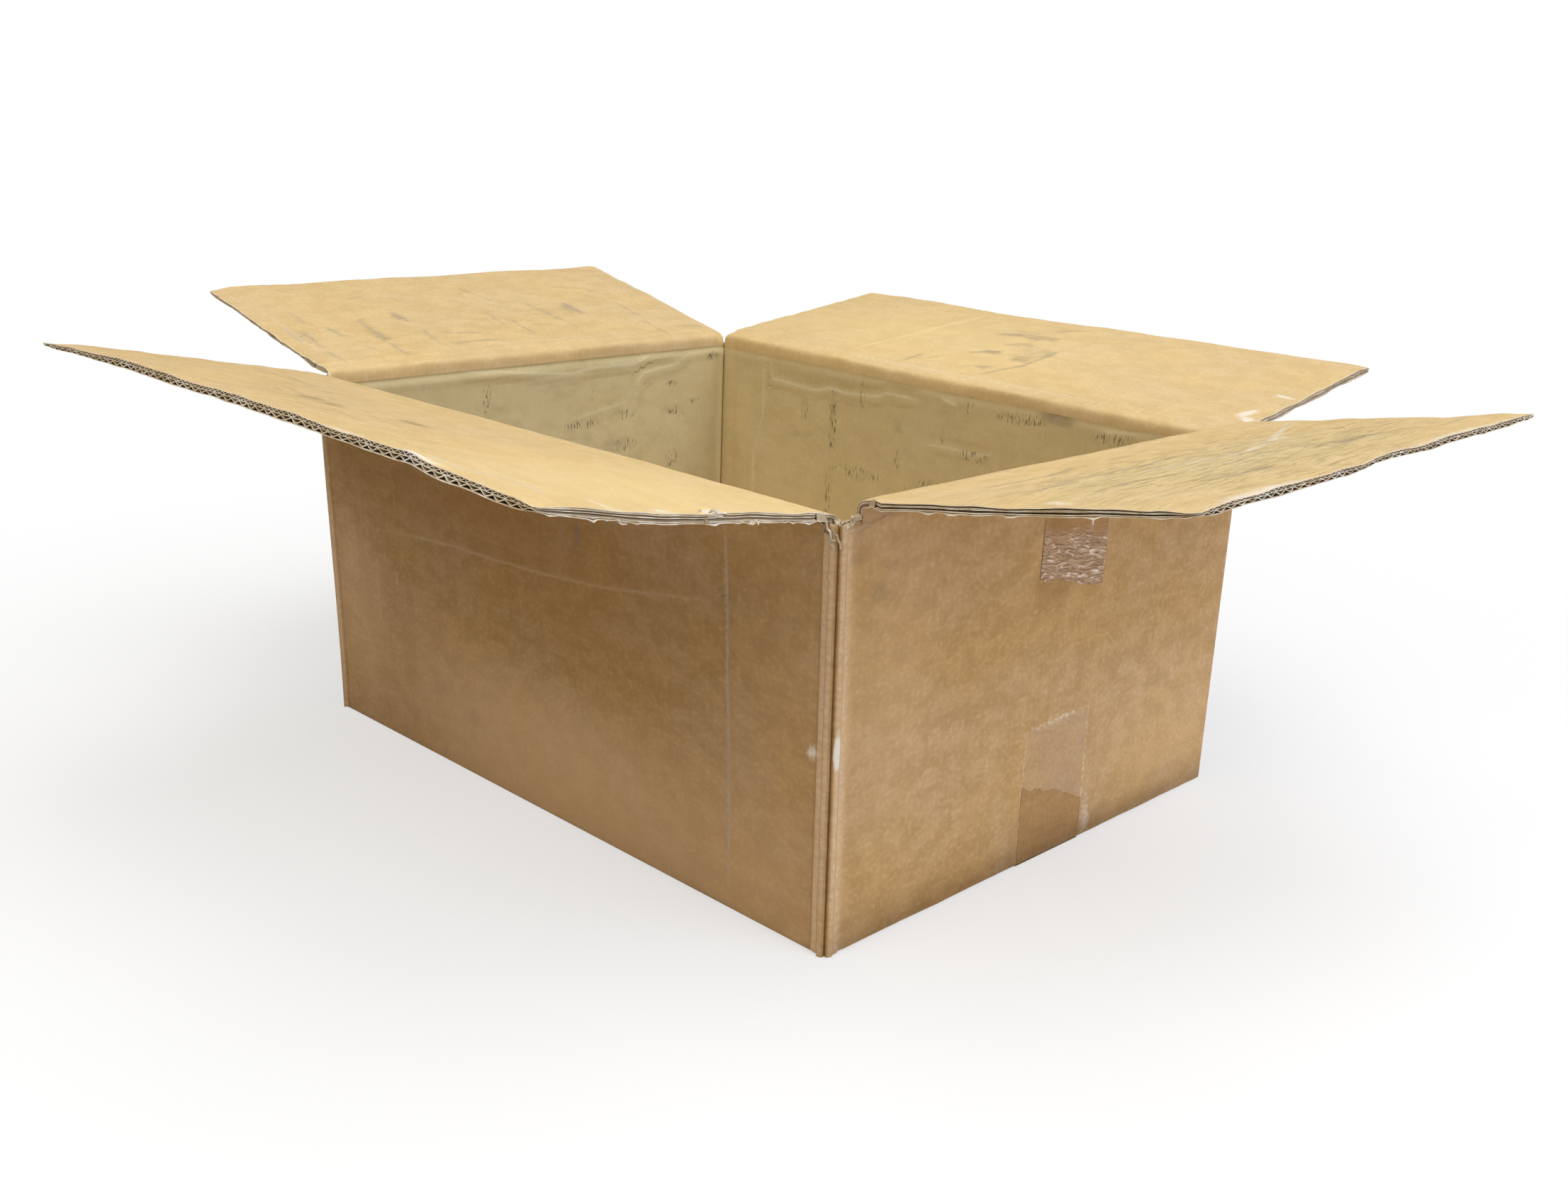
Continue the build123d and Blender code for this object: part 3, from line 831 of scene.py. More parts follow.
def make_walls(materials):
    columns = wall_columns()
    rows = wall_rows()
    count = len(columns)
    points = np.zeros((count, len(rows), 2, 3))
    found = {key: np.zeros_like(points) for key in ("panel", "marks", "crease", "wear")}
    found["marks"] = np.zeros((count, len(rows), 2, 4))
    tab_top = LOW_FOLD - 2 * BOARD
    for i, (outer, inner, out, name, u, is_corner) in enumerate(columns):
        is_end = name in END_WALLS
        is_side = name in SIDE_WALLS
        half = END_HALF if is_end else SIDE_HALF
        fold = END_FOLD if is_end else SIDE_FOLD
        base_outer = SIDE_BASE if is_side else END_BASE
        base_inner = BOARD
        if name == "tab":
            outermost = (WIDTH / 2 - BOARD - CORNER) - u
            taper = TAB_TAPER * np.clip(outermost / TAB, 0, 1)
            base_outer = base_inner = TAB_FLOOR + taper
            top_outer = top_inner = tab_top - taper
        elif name == "seam_corner":
            base_outer = base_inner = TAB_FLOOR if u < 0 else END_BASE
            top_outer = top_inner = tab_top if u < -1 else SLOT_FLOOR
        elif (is_end or is_side) and TORN_END[flap_of(name)] - half < u < half:
            raised = fold + float(fold_lift(flap_of(name), u))
            top_outer, top_inner = raised - FOLD_TIP, raised - FOLD_TIP - BOARD
        else:
            # The floor of a slot, cut and then torn a little
            q = u if is_corner else from_corner(name, u)
            top_outer = SLOT_FLOOR + 0.6 * waves(q, 0, 3, 77 + len(name))
            top_inner = SLOT_FLOOR + 0.9 * waves(q, 2, 3, 78 + len(name))
        layers = ((outer, base_outer, top_outer), (inner, base_inner, top_inner))
        for layer, (start, base, top) in enumerate(layers):
            z = base + (top - base) * rows
            marked = wear(board_face(name, layer), u + 0 * z, z, BOARD * layer)
            if is_corner:
                offset = corner_relief(np.full_like(z, u)) * (1 if layer == 0 else 0.25)
            elif name == "tab":
                offset = 0 * z
            else:
                offset = wall_offset(name, u + 0 * z, z, top, bool(layer))
            if layer == 0 and name != "tab" and not (name == "right_wall" and u > 0):
                corner_wear(u + 0 * z if is_corner else from_corner(name, u + 0 * z), name == "right_wall", marked)
            if layer == 0 and is_end:
                marked["panel"][..., 0] += END_WALL_PAPER
            if is_corner:
                marked["panel"][..., 0] += CORNER_PAPER
            points[i, :, layer] = start + out * offset[:, None] + UP * z[:, None]
            for key, value in marked.items():
                found[key][i, :, layer] = value
    points = out_of_square(points)
    filled = np.ones((count - 1, len(rows) - 1, 1), bool)
    faces, looks = block(points[..., 0], filled)
    shell = Shell()
    shell.add(points, found, faces, board_slots(looks))
    made = shell.piece("box_walls", materials, sharp=40)
    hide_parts("box_body")
    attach(made, "box")
    return columns, points


WALLS = {name.replace("flap", "wall"): panel for name, panel in PANELS.items()}


def make_fold(name, columns, wall_points, materials):
    """The board that rolls over the fold between a wall and its flap, from the slot at one end to the other."""
    panel = PANELS[name]
    torn = TORN_END[name]
    keep = [i for i, c in enumerate(columns) if flap_of(c[3]) == name and torn - panel.half < c[4] < panel.half]
    us = np.array([columns[i][4] for i in keep])
    us = panel.half - (panel.half - us) * 2 * panel.half / (2 * panel.half - torn)
    top_outer, top_inner = wall_points[keep, -1, 0], wall_points[keep, -1, 1]
    flap_outer = out_of_square(panel.on_flap(*flap_form(name, us, FOLD_TIP + 0 * us, 0 * us)))
    flap_inner = out_of_square(panel.on_flap(*flap_form(name, us, FOLD_TIP + BOARD + 0 * us, BOARD + 0 * us)))
    steps = 20
    t = np.linspace(0, 1, steps + 1)[None, :, None]

    def curve(start, first, second, end):
        return (
            (1 - t) ** 3 * start[:, None]
            + 3 * t * (1 - t) ** 2 * first[:, None]
            + 3 * t**2 * (1 - t) * second[:, None]
            + t**3 * end[:, None]
        )

    roll = 7.0 + 0.7 * waves(us, 0 * us, 40, 61)
    inner = curve(
        top_inner,
        top_inner + roll[:, None] * UP,
        flap_inner - roll[:, None] * panel.reach,
        flap_inner,
    )
    outer = curve(top_outer, top_outer + 0.5 * UP, flap_outer - 0.5 * panel.reach, flap_outer)
    points = np.stack([outer, inner], 2)
    u = np.broadcast_to(us[:, None, None], points.shape[:3])
    v = np.broadcast_to(((t[..., 0] - 0.5) * 10)[..., None], points.shape[:3])
    w = np.broadcast_to(np.array([0, BOARD]), points.shape[:3])
    found = flap_wear(name, u, v, w)
    faces, looks = block(u, np.ones((len(us) - 1, steps, 1), bool))
    shell = Shell()
    shell.add(points, found, faces, board_slots(looks))
    made = shell.piece(name + "_fold", materials, sharp=50)
    middle = (panel.outward * panel.face + UP * panel.fold) * MM
    across = (panel.outward + UP) / sqrt(2)
    reach = 3.4 * MM        # half the thickness of the band that bends
    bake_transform(made, "box", name, start=middle - across * reach, end=middle + across * reach)


def bottom_flap(name, half, rows, free_edge, form, open_sides, materials):
    """One closed bottom flap, with its layers open to view along its free edge and, if asked, along its sides."""
    def attributes(u, v, w):
        return wear(name, u, v, w)

    shell = Shell()
    us = spaced(-half, half, 4, OPEN_DEPTH - half, half - OPEN_DEPTH)
    rows = np.concatenate([rows, [free_edge - 3.5, free_edge - 1.5, free_edge]])
    layered_board(shell, form, attributes, half, us, rows, open_sides, fold_bevel=False)
    made = shell.piece(name, materials)
    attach(made, "box")


def make_bottom_flaps(materials):
    """The four closed bottom flaps: two outer ones that meet along the middle, two inner ones on top of them."""
    half, free_edge = LENGTH / 2 - BOARD - 0.4, WIDTH / 2 - BOTTOM_PLAY
    rows = np.array([0.3, 0.5, 0.8, 1.2, 1.8, 3.0, 5, 8] + list(np.linspace(12, free_edge - OPEN_DEPTH, 24)))
    for name, side in (("bottom_front", -1), ("bottom_back", 1)):
        def outer_form(u, v, w):
            # v runs from the wall's face to the middle seam, and the edge at the wall is rounded
            rounding = np.clip(SIDE_ROLL + 0.3 - v, 0, SIDE_ROLL)
            lift = (SIDE_ROLL - np.sqrt(SIDE_ROLL**2 - rounding**2)) * (BOARD - w) / BOARD
            return np.stack([u, side * (WIDTH / 2 - v), w + lift + 0.16 * (1 - w / BOARD)], -1)

        bottom_flap(name, half, rows, free_edge, outer_form, True, materials)

    free_edge = FLAP_DEPTH - BOTTOM_PLAY
    rows = np.linspace(0, free_edge - OPEN_DEPTH, 30)
    x = LENGTH / 2 - BOTTOM_PLAY
    for name, side in (("bottom_left", -1), ("bottom_right", 1)):
        def inner_form(u, v, w):
            return np.stack([side * (x - v), side * u, BOARD + w + 0.25 * waves(u, v, 60, 71) * smooth(8, 40, v)], -1)

        bottom_flap(name, END_HALF, rows, free_edge, inner_form, False, materials)


# Packing tape

REMNANT_EDGE = 126.0        # where the remnant on the right wall is torn off, above the floor
LEG_FRONT, LEG_BACK = 39.0, 20.5    # how far the bottom tape still climbs the right wall, at its two sides
LEFT_LEG = 60.0
FILM = 0.12


def tape_on_wall(shell, name, low, high, crinkle):
    """A length of film on a wall. low(u) and high(u) are its ends; crinkle(u, z) says how far it is wrinkled."""
    sides = TAPE_SIDES if name == "right_wall" else (-TAPE_SIDES[1], -TAPE_SIDES[0])
    us = np.linspace(*sides, 61)
    share = np.linspace(0, 1, 41)
    u, t, layer = np.meshgrid(us, share, (0.0, 1.0), indexing="ij")
    z = low(u) + (high(u) - low(u)) * t
    ripple = 0.1 * (1 + waves(u * 0.6 + z * 0.4, z, 5, 81)) * crinkle(u, z)
    points = wall_outside(name, u, z) + WALLS[name].outward * (0.04 + FILM * layer + ripple)[..., None]
    zero = 0 * u
    found = {
        "panel": np.stack([u, z, layer], -1),
        "marks": np.stack([crinkle(u, z), spots(PALE_SPOTS, name, u, z), zero, zero], -1),
    }
    faces, _ = block(u, np.ones((60, 40, 1), bool))
    shell.add(points, found, faces, 0)


def make_tapes(film):
    """The remnant at the top of the right wall, and the strip under the bottom with its two legs."""
    def torn(u, level, size):
        return level + size * (0.5 * waves(u, 0, 9, 83) + 0.35 * waves(u, 3, 2.6, 84))

    shell = Shell()
    tape_on_wall(
        shell, "right_wall",
        lambda u: torn(u, REMNANT_EDGE + 10 * smooth(31, -16, u), 1.6),
        lambda u: 0 * u + END_FOLD - 3.0,
        lambda u, z: smooth(158, 150, z + 0.1 * u + 3 * waves(u, 0, 14, 88)),
    )
    remnant = shell.piece("tape_remnant_film", [film])
    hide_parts("tape_remnant")
    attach(remnant, "box")

    shell = Shell()
    slope = (LEG_BACK - LEG_FRONT) / (TAPE_SIDES[1] - TAPE_SIDES[0])
    tape_on_wall(
        shell, "right_wall",
        lambda u: 0 * u + 0.2,
        lambda u: torn(u, LEG_FRONT + slope * (u - TAPE_SIDES[0] - 4 * bell(u - 12, 12)), 1.6),
        lambda u, z: 0 * u + 0.05,
    )
    tape_on_wall(
        shell, "left_wall",
        lambda u: 0 * u + 0.2,
        lambda u: torn(u, LEFT_LEG, 0.8),
        lambda u, z: 0 * u + 0.1,
    )
    across = [np.linspace(-LENGTH / 2, LENGTH / 2, 75), np.linspace(*TAPE_SIDES, 13), np.array([0.0, FILM])]
    x, y, z = np.meshgrid(*across, indexing="ij")
    crown = smooth(1.5, 0, LENGTH / 2 - np.abs(x))
    points = np.stack([x - np.sign(x) * 0.1, y, z + 0.3 * crown], -1)
    found = {"panel": np.stack([x, y, z], -1), "marks": np.stack([0 * x + 0.05, 0 * x, 0 * x, 0 * x], -1)}
    faces, _ = block(x, np.ones((74, 12, 1), bool))
    shell.add(points, found, faces, 0)
    strip = shell.piece("bottom_tape_film", [film])
    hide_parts("bottom_tape")
    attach(strip, "box")


def ribbon(shell, start, end, out, bulge, width, rng, slot, place=out_of_square):
    """A crumpled strip of torn paper that bulges outwards on its way from start to end."""
    steps = np.linspace(0, 1, 21)
    middle = (start + end) / 2 + out * bulge + UP * 0.8
    path = (1 - steps)[:, None] ** 2 * start + 2 * (steps * (1 - steps))[:, None] * middle + steps[:, None] ** 2 * end
    path = path + 0.7 * np.stack([waves(steps * 12, k * 3.0, 4, int(rng.integers(999))) for k in range(3)], -1)
    ahead = np.gradient(path, axis=0)
    ahead /= np.linalg.norm(ahead, axis=1)[:, None]
    turn = rng.uniform(0, 6) + steps * rng.uniform(1.5, 4.5)
    side = np.cross(ahead, out)
    side /= np.linalg.norm(side, axis=1)[:, None]
    across = side * np.cos(turn)[:, None] + np.cross(ahead, side) * np.sin(turn)[:, None]
    thick = np.cross(ahead, across)
    taper = width * (1 - 0.6 * steps) * (1 + 0.25 * waves(steps * 12, 0, 3, int(rng.integers(999))))
    cross = np.linspace(-0.5, 0.5, 6)
    curl = (cross**2 * 0.9)[None, :, None]
    grid = path[:, None] + (taper[:, None] * cross)[..., None] * across[:, None]
    grid = grid + thick[:, None] * curl * taper[:, None, None]
    points = np.stack([grid - thick[:, None] * 0.14, grid + thick[:, None] * 0.14], 2)
    u, v, w = np.meshgrid(steps * 12, cross * 4, (0.0, BOARD), indexing="ij")
    faces, _ = block(u, np.ones((20, 5, 1), bool))
    shell.add(place(points), wear("torn", u, v, w), faces, slot)


def make_torn_paper(materials):
    """Crumpled ends of the layers that hang in the slot at the near corner, and a chip on the front flap's side."""
    shell = Shell()
    rng = np.random.default_rng(12)
    near = vec(LENGTH / 2, -WIDTH / 2, 0)
    # Each ribbon: where it starts and ends from the corner's vertical edge, its bulge outwards, its width and paper
    for start, end, bulge, width, slot in (
        ((-9.0, -0.8, 181.0), (-1.0, -0.4, 169.5), 2.6, 2.2, FLUTE),
        ((-7.5, -0.8, 182.0), (-1.4, 0.2, 173.0), 2.2, 2.0, CUT),
        ((-5.5, 0.4, 181.0), (0.2, 0.8, 171.0), 1.6, 1.8, FLUTE),
        ((-3.5, 1.6, 180.6), (0.4, 4.0, 176.5), 1.2, 2.2, CUT),
        ((-0.5, 9.0, 181.0), (0.5, 3.5, 177.0), 1.0, 2.6, CUT),
        ((-1.5, 12.0, 181.5), (0.2, 5.0, 179.0), 0.8, 2.4, FLUTE),
    ):
        ribbon(shell, near + vec(*start), near + vec(*end), vec(0.6, -0.8, 0), bulge, width, rng, slot)
    made = shell.piece("torn_layers", materials, sharp=70)
    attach(made, "box")

    def on_flap(points):
        u, v, w = points[..., 0], points[..., 1], points[..., 2]
        return out_of_square(PANELS["front_flap"].on_flap(*flap_form("front_flap", u, v, w)))

    shell = Shell()
    edge = SIDE_HALF - 0.6
    for start, end, width in (
        ((edge - 2.5, 70.0, 3.6), (edge + 0.4, 60.0, 4.0), 2.6),
        ((edge, 69.0, 1.5), (edge + 0.8, 60.0, 3.4), 2.2),
        ((edge, 52.0, 0.6), (edge + 1.0, 42.0, 0.2), 1.4),
        ((edge, 112.0, 0.4), (edge + 1.2, 104.0, -0.6), 1.4),
    ):
        ribbon(shell, vec(*start), vec(*end), vec(1, 0, 0), 0.4, width, rng, CUT, on_flap)
    made = shell.piece("torn_chips", materials, sharp=70)
    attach(made, "front_flap")


# Materials


class Shader:
    """A short way to write the nodes of a material, or of the world."""

    def __init__(self, owner):
        self.owner = owner
        owner.use_nodes = True
        self.tree = owner.node_tree
        self.tree.nodes.clear()

    def node(self, kind, inputs=None, **settings):
        made = self.tree.nodes.new("ShaderNode" + kind)
        for key, value in settings.items():
            setattr(made, key, value)
        for key, value in (inputs or {}).items():
            if isinstance(value, bpy.types.NodeSocket):
                self.tree.links.new(value, made.inputs[key])
            else:
                made.inputs[key].default_value = value
        return made

    def attribute(self, name):
        """The vector that a mesh stores under this name."""
        return self.node("Attribute", attribute_name=name).outputs["Vector"]

    def parts(self, vector):
        return self.node("SeparateXYZ", {0: vector}).outputs

    def marks(self):
        """The attribute marks: its first three values, and then its fourth."""
        found = self.node("Attribute", attribute_name="marks").outputs
        return [*self.node("SeparateColor", {0: found["Color"]}).outputs, found["Alpha"]]

    def math(self, operation, *values, clamp=False):
        return self.node("Math", dict(enumerate(values)), operation=operation, use_clamp=clamp).outputs[0]

    def noise(self, vector, scale, detail=3.0, roughness=0.55, distortion=0.0):
        scaled = self.node("VectorMath", {0: vector, 1: scale}, operation="MULTIPLY").outputs[0]
        inputs = {"Vector": scaled, "Scale": 1.0, "Detail": detail, "Roughness": roughness, "Distortion": distortion}
        return self.node("TexNoise", inputs).outputs["Fac"]

    def ramp(self, value, low, high, to_low=0.0, to_high=1.0):
        inputs = {"Value": value, "From Min": low, "From Max": high, "To Min": to_low, "To Max": to_high}
        return self.node("MapRange", inputs, interpolation_type="SMOOTHSTEP").outputs[0]

    def mix(self, factor, a, b, blend="MIX"):
        made = self.node("Mix", data_type="RGBA", blend_type=blend, clamp_factor=True)
        for socket, value in zip((made.inputs[0], made.inputs[6], made.inputs[7]), (factor, a, b)):
            if isinstance(value, bpy.types.NodeSocket):
                self.tree.links.new(value, socket)
            else:
                socket.default_value = value
        return made.outputs[2]

    def bump(self, height, distance, normal=None, strength=1.0):
        inputs = {"Height": height, "Distance": distance, "Strength": strength}
        if normal is not None:
            inputs["Normal"] = normal
        return self.node("Bump", inputs).outputs[0]

    def surface(self, inputs):
        return self.finish("OutputMaterial", self.node("BsdfPrincipled", inputs).outputs[0])

    def finish(self, kind, shader):
        self.node(kind, {0: shader})
        return self.owner


def material(name):
    return Shader(bpy.data.materials.new(name))


def rgb(r, g, b):
    """A colour written as it looks on screen, 0 to 255, in the linear values that a shader takes."""
    def linear(c):
        c = c / 255
        return c / 12.92 if c <= 0.04045 else ((c + 0.055) / 1.055) ** 2.4
    return (linear(r), linear(g), linear(b), 1)


def kraft_paper(name, base, light, painted_light_and_tint_colour, painted_shade_and_tint_colour, deep, cool, pitch, rough):
    """Liner of the board: mottled brown paper with fibres, faint flute lines, scuffs, smudges and creases, and broad
    painted light and shade.
    """
    s = material(name)
    panel = s.attribute("panel")
    scuffed, smudges_and_painted_shade, stains_and_painted_groove_shade, painted_light_and_tint = s.marks()
    distance, strength, tone = s.parts(s.attribute("crease"))
    wrinkled, dashed, patch = s.parts(s.attribute("wear"))

    cloud = s.noise(panel, (1 / 60, 1 / 48, 0.3), 2, 0.5)
    patches = s.noise(panel, (1 / 13, 1 / 9, 0.6), 3, 0.5)
    mottle = s.noise(panel, (1 / 2.6, 1 / 2.2, 1), 3, 0.5)
    streak = s.noise(panel, (1 / 2.6, 1 / 60, 1), 3, 0.6)
    line = s.noise(panel, (1 / 17, 1 / 1.7, 1), 3, 0.6, 0.8)
    dash = s.noise(panel, (1 / 1.1, 1 / 4.6, 1), 2, 0.5)

    u = s.parts(panel)[0]
    phase = s.math("MULTIPLY_ADD", u, 2 * pi / pitch, s.math("MULTIPLY", cloud, 5.0))
    washboard = s.math("MULTIPLY_ADD", s.math("SINE", phase), 0.5, 0.5)

    mixed = s.mix(s.ramp(cloud, 0.35, 0.65, 0.0, 0.8), base, cool)
    mixed = s.mix(s.ramp(patches, 0.35, 0.65, 0.0, 0.5), mixed, deep)
    mixed = s.mix(s.ramp(mottle, 0.35, 0.62, 0.2, 0.0), mixed, deep)
    mixed = s.mix(s.ramp(mottle, 0.5, 0.75, 0.0, 0.3), mixed, light)
    mixed = s.mix(s.ramp(streak, 0.42, 0.72, 0.0, 0.16), mixed, deep)
    mixed = s.mix(s.math("MULTIPLY", washboard, 0.04), mixed, deep)

    # Painted light where the fourth mark is above 0, and painted shade where it is below 0, with some tints
    mixed = s.mix(s.math("MULTIPLY", painted_light_and_tint, 1.0, clamp=True), mixed, painted_light_and_tint_colour)
    mixed = s.mix(s.math("MULTIPLY", painted_light_and_tint, -0.6, clamp=True), mixed, painted_shade_and_tint_colour)

    # Soft grey smudges, with painted shade as the broad grey over the inner left wall, and dirt in short strokes
    grey = s.ramp(s.math("MULTIPLY_ADD", patches, 0.9, smudges_and_painted_shade), 0.7, 1.4, 0.0, 0.6)
    mixed = s.mix(grey, mixed, rgb(124, 114, 94))
    dirt = s.math("MULTIPLY", s.ramp(dash, 0.5, 0.66), s.ramp(dashed, 0.1, 0.6, 0.0, 0.8))
    mixed = s.mix(dirt, mixed, rgb(98, 92, 76))

    # Wrinkles and creases
    folds = s.math("MULTIPLY", s.ramp(line, 0.52, 0.68), wrinkled, clamp=True)
    mixed = s.mix(s.math("MULTIPLY", folds, 0.4), mixed, rgb(142, 124, 88))
    wander = s.math("MULTIPLY_ADD", s.math("SUBTRACT", mottle, 0.5), 1.5, distance)
    width = s.math("MULTIPLY_ADD", s.math("ABSOLUTE", tone), 1.1, 0.8)
    away = s.math("DIVIDE", s.math("ABSOLUTE", wander), width)
    core = s.math("MULTIPLY", s.ramp(away, 0.2, 1.25, 1.0, 0.0), strength)
    pale_core = s.math("MULTIPLY", core, s.math("MAXIMUM", tone, 0.3))
    dark_core = s.math("MULTIPLY", core, s.math("MAXIMUM", s.math("MULTIPLY", tone, -1.0), 0.3))
    mixed = s.mix(s.math("MULTIPLY", dark_core, s.ramp(patches, 0.35, 0.6, 0.12, 0.5)), mixed, rgb(118, 106, 78))
    mixed = s.mix(s.math("MULTIPLY", pale_core, s.ramp(patches, 0.35, 0.6, 0.35, 0.8)), mixed, rgb(234, 222, 198))

    # Stains, with painted shade in the grooves of the folded corners, the patch that tape has stripped, and scuffs
    stain = s.mix(1.0, deep, rgb(176, 140, 120), "MULTIPLY")
    mixed = s.mix(s.math("MULTIPLY", stains_and_painted_groove_shade, 0.85, clamp=True), mixed, stain)
    torn = s.math("MULTIPLY_ADD", s.math("SUBTRACT", dash, 0.5), 3.2, patch)
    bare = s.ramp(torn, -0.2, 0.7)
    mixed = s.mix(s.math("MULTIPLY", bare, s.ramp(mottle, 0.3, 0.7, 0.2, 0.5)), mixed, rgb(166, 138, 112))
    rim = s.math("MULTIPLY", s.ramp(s.math("ABSOLUTE", torn), 0.1, 1.0, 0.3, 0.0), s.ramp(mottle, 0.4, 0.6))
    mixed = s.mix(rim, mixed, rgb(214, 196, 176))
    broken = s.math("MULTIPLY", scuffed, s.math("MULTIPLY_ADD", patches, 0.8, 0.6))
    pale = s.ramp(s.math("MULTIPLY_ADD", s.math("SUBTRACT", mottle, 0.5), 0.4, broken), 0.08, 0.9, 0.0, 0.85)
    mixed = s.mix(pale, mixed, rgb(226, 216, 200))

    shelf = s.math("MULTIPLY", s.node("Math", {0: wander}, operation="TANH").outputs[0], strength)
    height = s.bump(s.math("MULTIPLY_ADD", folds, -0.3, s.math("MULTIPLY", shelf, 0.45)), 1.0 * MM)
    height = s.bump(washboard, 0.015 * MM, height)
    height = s.bump(mottle, 0.05 * MM, height)
    return s.surface({
        "Base Color": mixed,
        "Roughness": s.ramp(mottle, 0.3, 0.75, rough + 0.08, rough - 0.06),
        "Specular IOR Level": 0.12,
        "Normal": height,
    })


def cut_paper(name):
    """Cut edges: the liners are pale and fluffy, and where the layers are pressed together dark lines part them."""
    s = material(name)
    panel = s.attribute("panel")
    speck = s.noise(panel, (1.1, 1.1, 1.6), 4, 0.7)
    patch = s.noise(panel, (1 / 9, 1 / 9, 1 / 3), 3, 0.6)
    across = s.math("MULTIPLY_ADD", s.math("SUBTRACT", speck, 0.5), 0.5, s.parts(panel)[2])

    def layer(middle, half):
        away = s.math("ABSOLUTE", s.math("SUBTRACT", across, middle))
        return s.ramp(away, half, half + 0.22, 1.0, 0.0)

    layers = s.math("MAXIMUM", layer(0.15, 0.3), s.math("MAXIMUM", layer(2.6, 0.22), layer(BOARD - 0.15, 0.3)))
    paper = s.mix(s.ramp(patch, 0.35, 0.7), rgb(196, 172, 138), rgb(232, 222, 202))
    paper = s.mix(s.ramp(speck, 0.5, 0.75, 0.0, 0.2), paper, rgb(150, 128, 100))
    mixed = s.mix(layers, rgb(128, 106, 80), paper)
    mixed = s.mix(s.ramp(s.marks()[0], 0.6, 1.5, 0.0, 0.85), mixed, rgb(226, 218, 214))
    return s.surface({
        "Base Color": mixed,
        "Roughness": 0.9,
        "Specular IOR Level": 0.2,
        "Normal": s.bump(speck, 0.1 * MM),
    })


def flute_paper(name):
    """Fluting inside the board, and the hidden sides of its liners."""
    s = material(name)
    panel = s.attribute("panel")
    speck = s.noise(panel, (0.9, 0.9, 1.6), 3, 0.6)
    return s.surface({
        "Base Color": s.mix(speck, rgb(158, 136, 110), rgb(196, 176, 148)),
        "Roughness": 0.9,
        "Specular IOR Level": 0.2,
        "Normal": s.bump(speck, 0.1 * MM),
    })


def tape_film(name):
    """Clear brown tape: smooth in places, and finely crumpled where the marks say so, with painted glints on the crests
    of the crumples.
    """
    s = material(name)
    panel = s.attribute("panel")
    crinkled, pale = s.marks()[:2]
    mottle = s.noise(panel, (1 / 2.3, 1 / 2.0, 1), 4, 0.62)
    cloud = s.noise(panel, (1 / 18, 1 / 9, 1), 3, 0.55)
    turn = {"Vector": panel, "Axis": (0, 0, 1), "Angle": radians(9)}
    turned = s.node("VectorRotate", turn, rotation_type="AXIS_ANGLE")
    crumple = s.noise(turned.outputs[0], (1 / 6.5, 1 / 1.9, 1), 3, 0.6, 0.8)
    ridged = s.math("MULTIPLY", s.ramp(crumple, 0.35, 0.65), crinkled)
    mixed = s.mix(s.ramp(mottle, 0.35, 0.65), rgb(146, 105, 52), rgb(158, 117, 62))
    mixed = s.mix(s.ramp(cloud, 0.35, 0.7, 0.0, 0.5), mixed, rgb(132, 92, 42))
    mixed = s.mix(s.math("MULTIPLY", crinkled, 0.55), mixed, rgb(194, 162, 132))
    mixed = s.mix(s.math("MULTIPLY", s.ramp(crumple, 0.46, 0.38), crinkled), mixed, rgb(140, 104, 70))
    # Painted glints: pale highlights on the crests of the crumples
    glint = s.math("MULTIPLY", s.ramp(crumple, 0.54, 0.66), crinkled)
    mixed = s.mix(s.math("MULTIPLY", glint, 0.7), mixed, rgb(226, 208, 192))
    strokes = s.noise(panel, (1 / 2.0, 1 / 26, 1), 3, 0.6)
    mixed = s.mix(s.ramp(strokes, 0.45, 0.7, 0.0, 0.14), mixed, rgb(178, 142, 100))
    scuffs = s.ramp(s.math("MULTIPLY_ADD", mottle, 0.9, pale), 0.68, 1.3, 0.0, 0.8)
    mixed = s.mix(scuffs, mixed, rgb(226, 216, 200))
    return s.surface({
        "Base Color": mixed,
        "Roughness": 0.42,
        "Specular IOR Level": 0.2,
        "Coat Weight": 0.05,
        "Coat Roughness": 0.15,
        "Normal": s.bump(ridged, 0.7 * MM, s.bump(mottle, 0.03 * MM)),
    })


def floor_material():
    """Pale floor that keeps the shadow near the box and turns into the white background further out."""
    s = material("floor")
    path = s.node("LightPath").outputs
    reflected = s.math("MAXIMUM", path["Is Glossy Ray"], path["Is Transmission Ray"])
    seen = s.math("MAXIMUM", path["Is Camera Ray"], reflected)
    position = s.node("TexCoord").outputs["Object"]
    away = s.node("VectorMath", {0: position}, operation="LENGTH").outputs["Value"]
    white = s.math("MULTIPLY", seen, s.ramp(away, 0.25, 0.75, 0.6, 1.0))
    grain = s.noise(position, (3, 3, 3), 2)
    diffuse = s.node("BsdfDiffuse", {"Color": s.mix(grain, rgb(240, 240, 240), rgb(246, 246, 246))}).outputs[0]
    glow = s.node("Emission", {"Color": (1, 1, 1, 1), "Strength": 1.0}).outputs[0]
    return s.finish("OutputMaterial", s.node("MixShader", {0: white, 1: diffuse, 2: glow}).outputs[0])


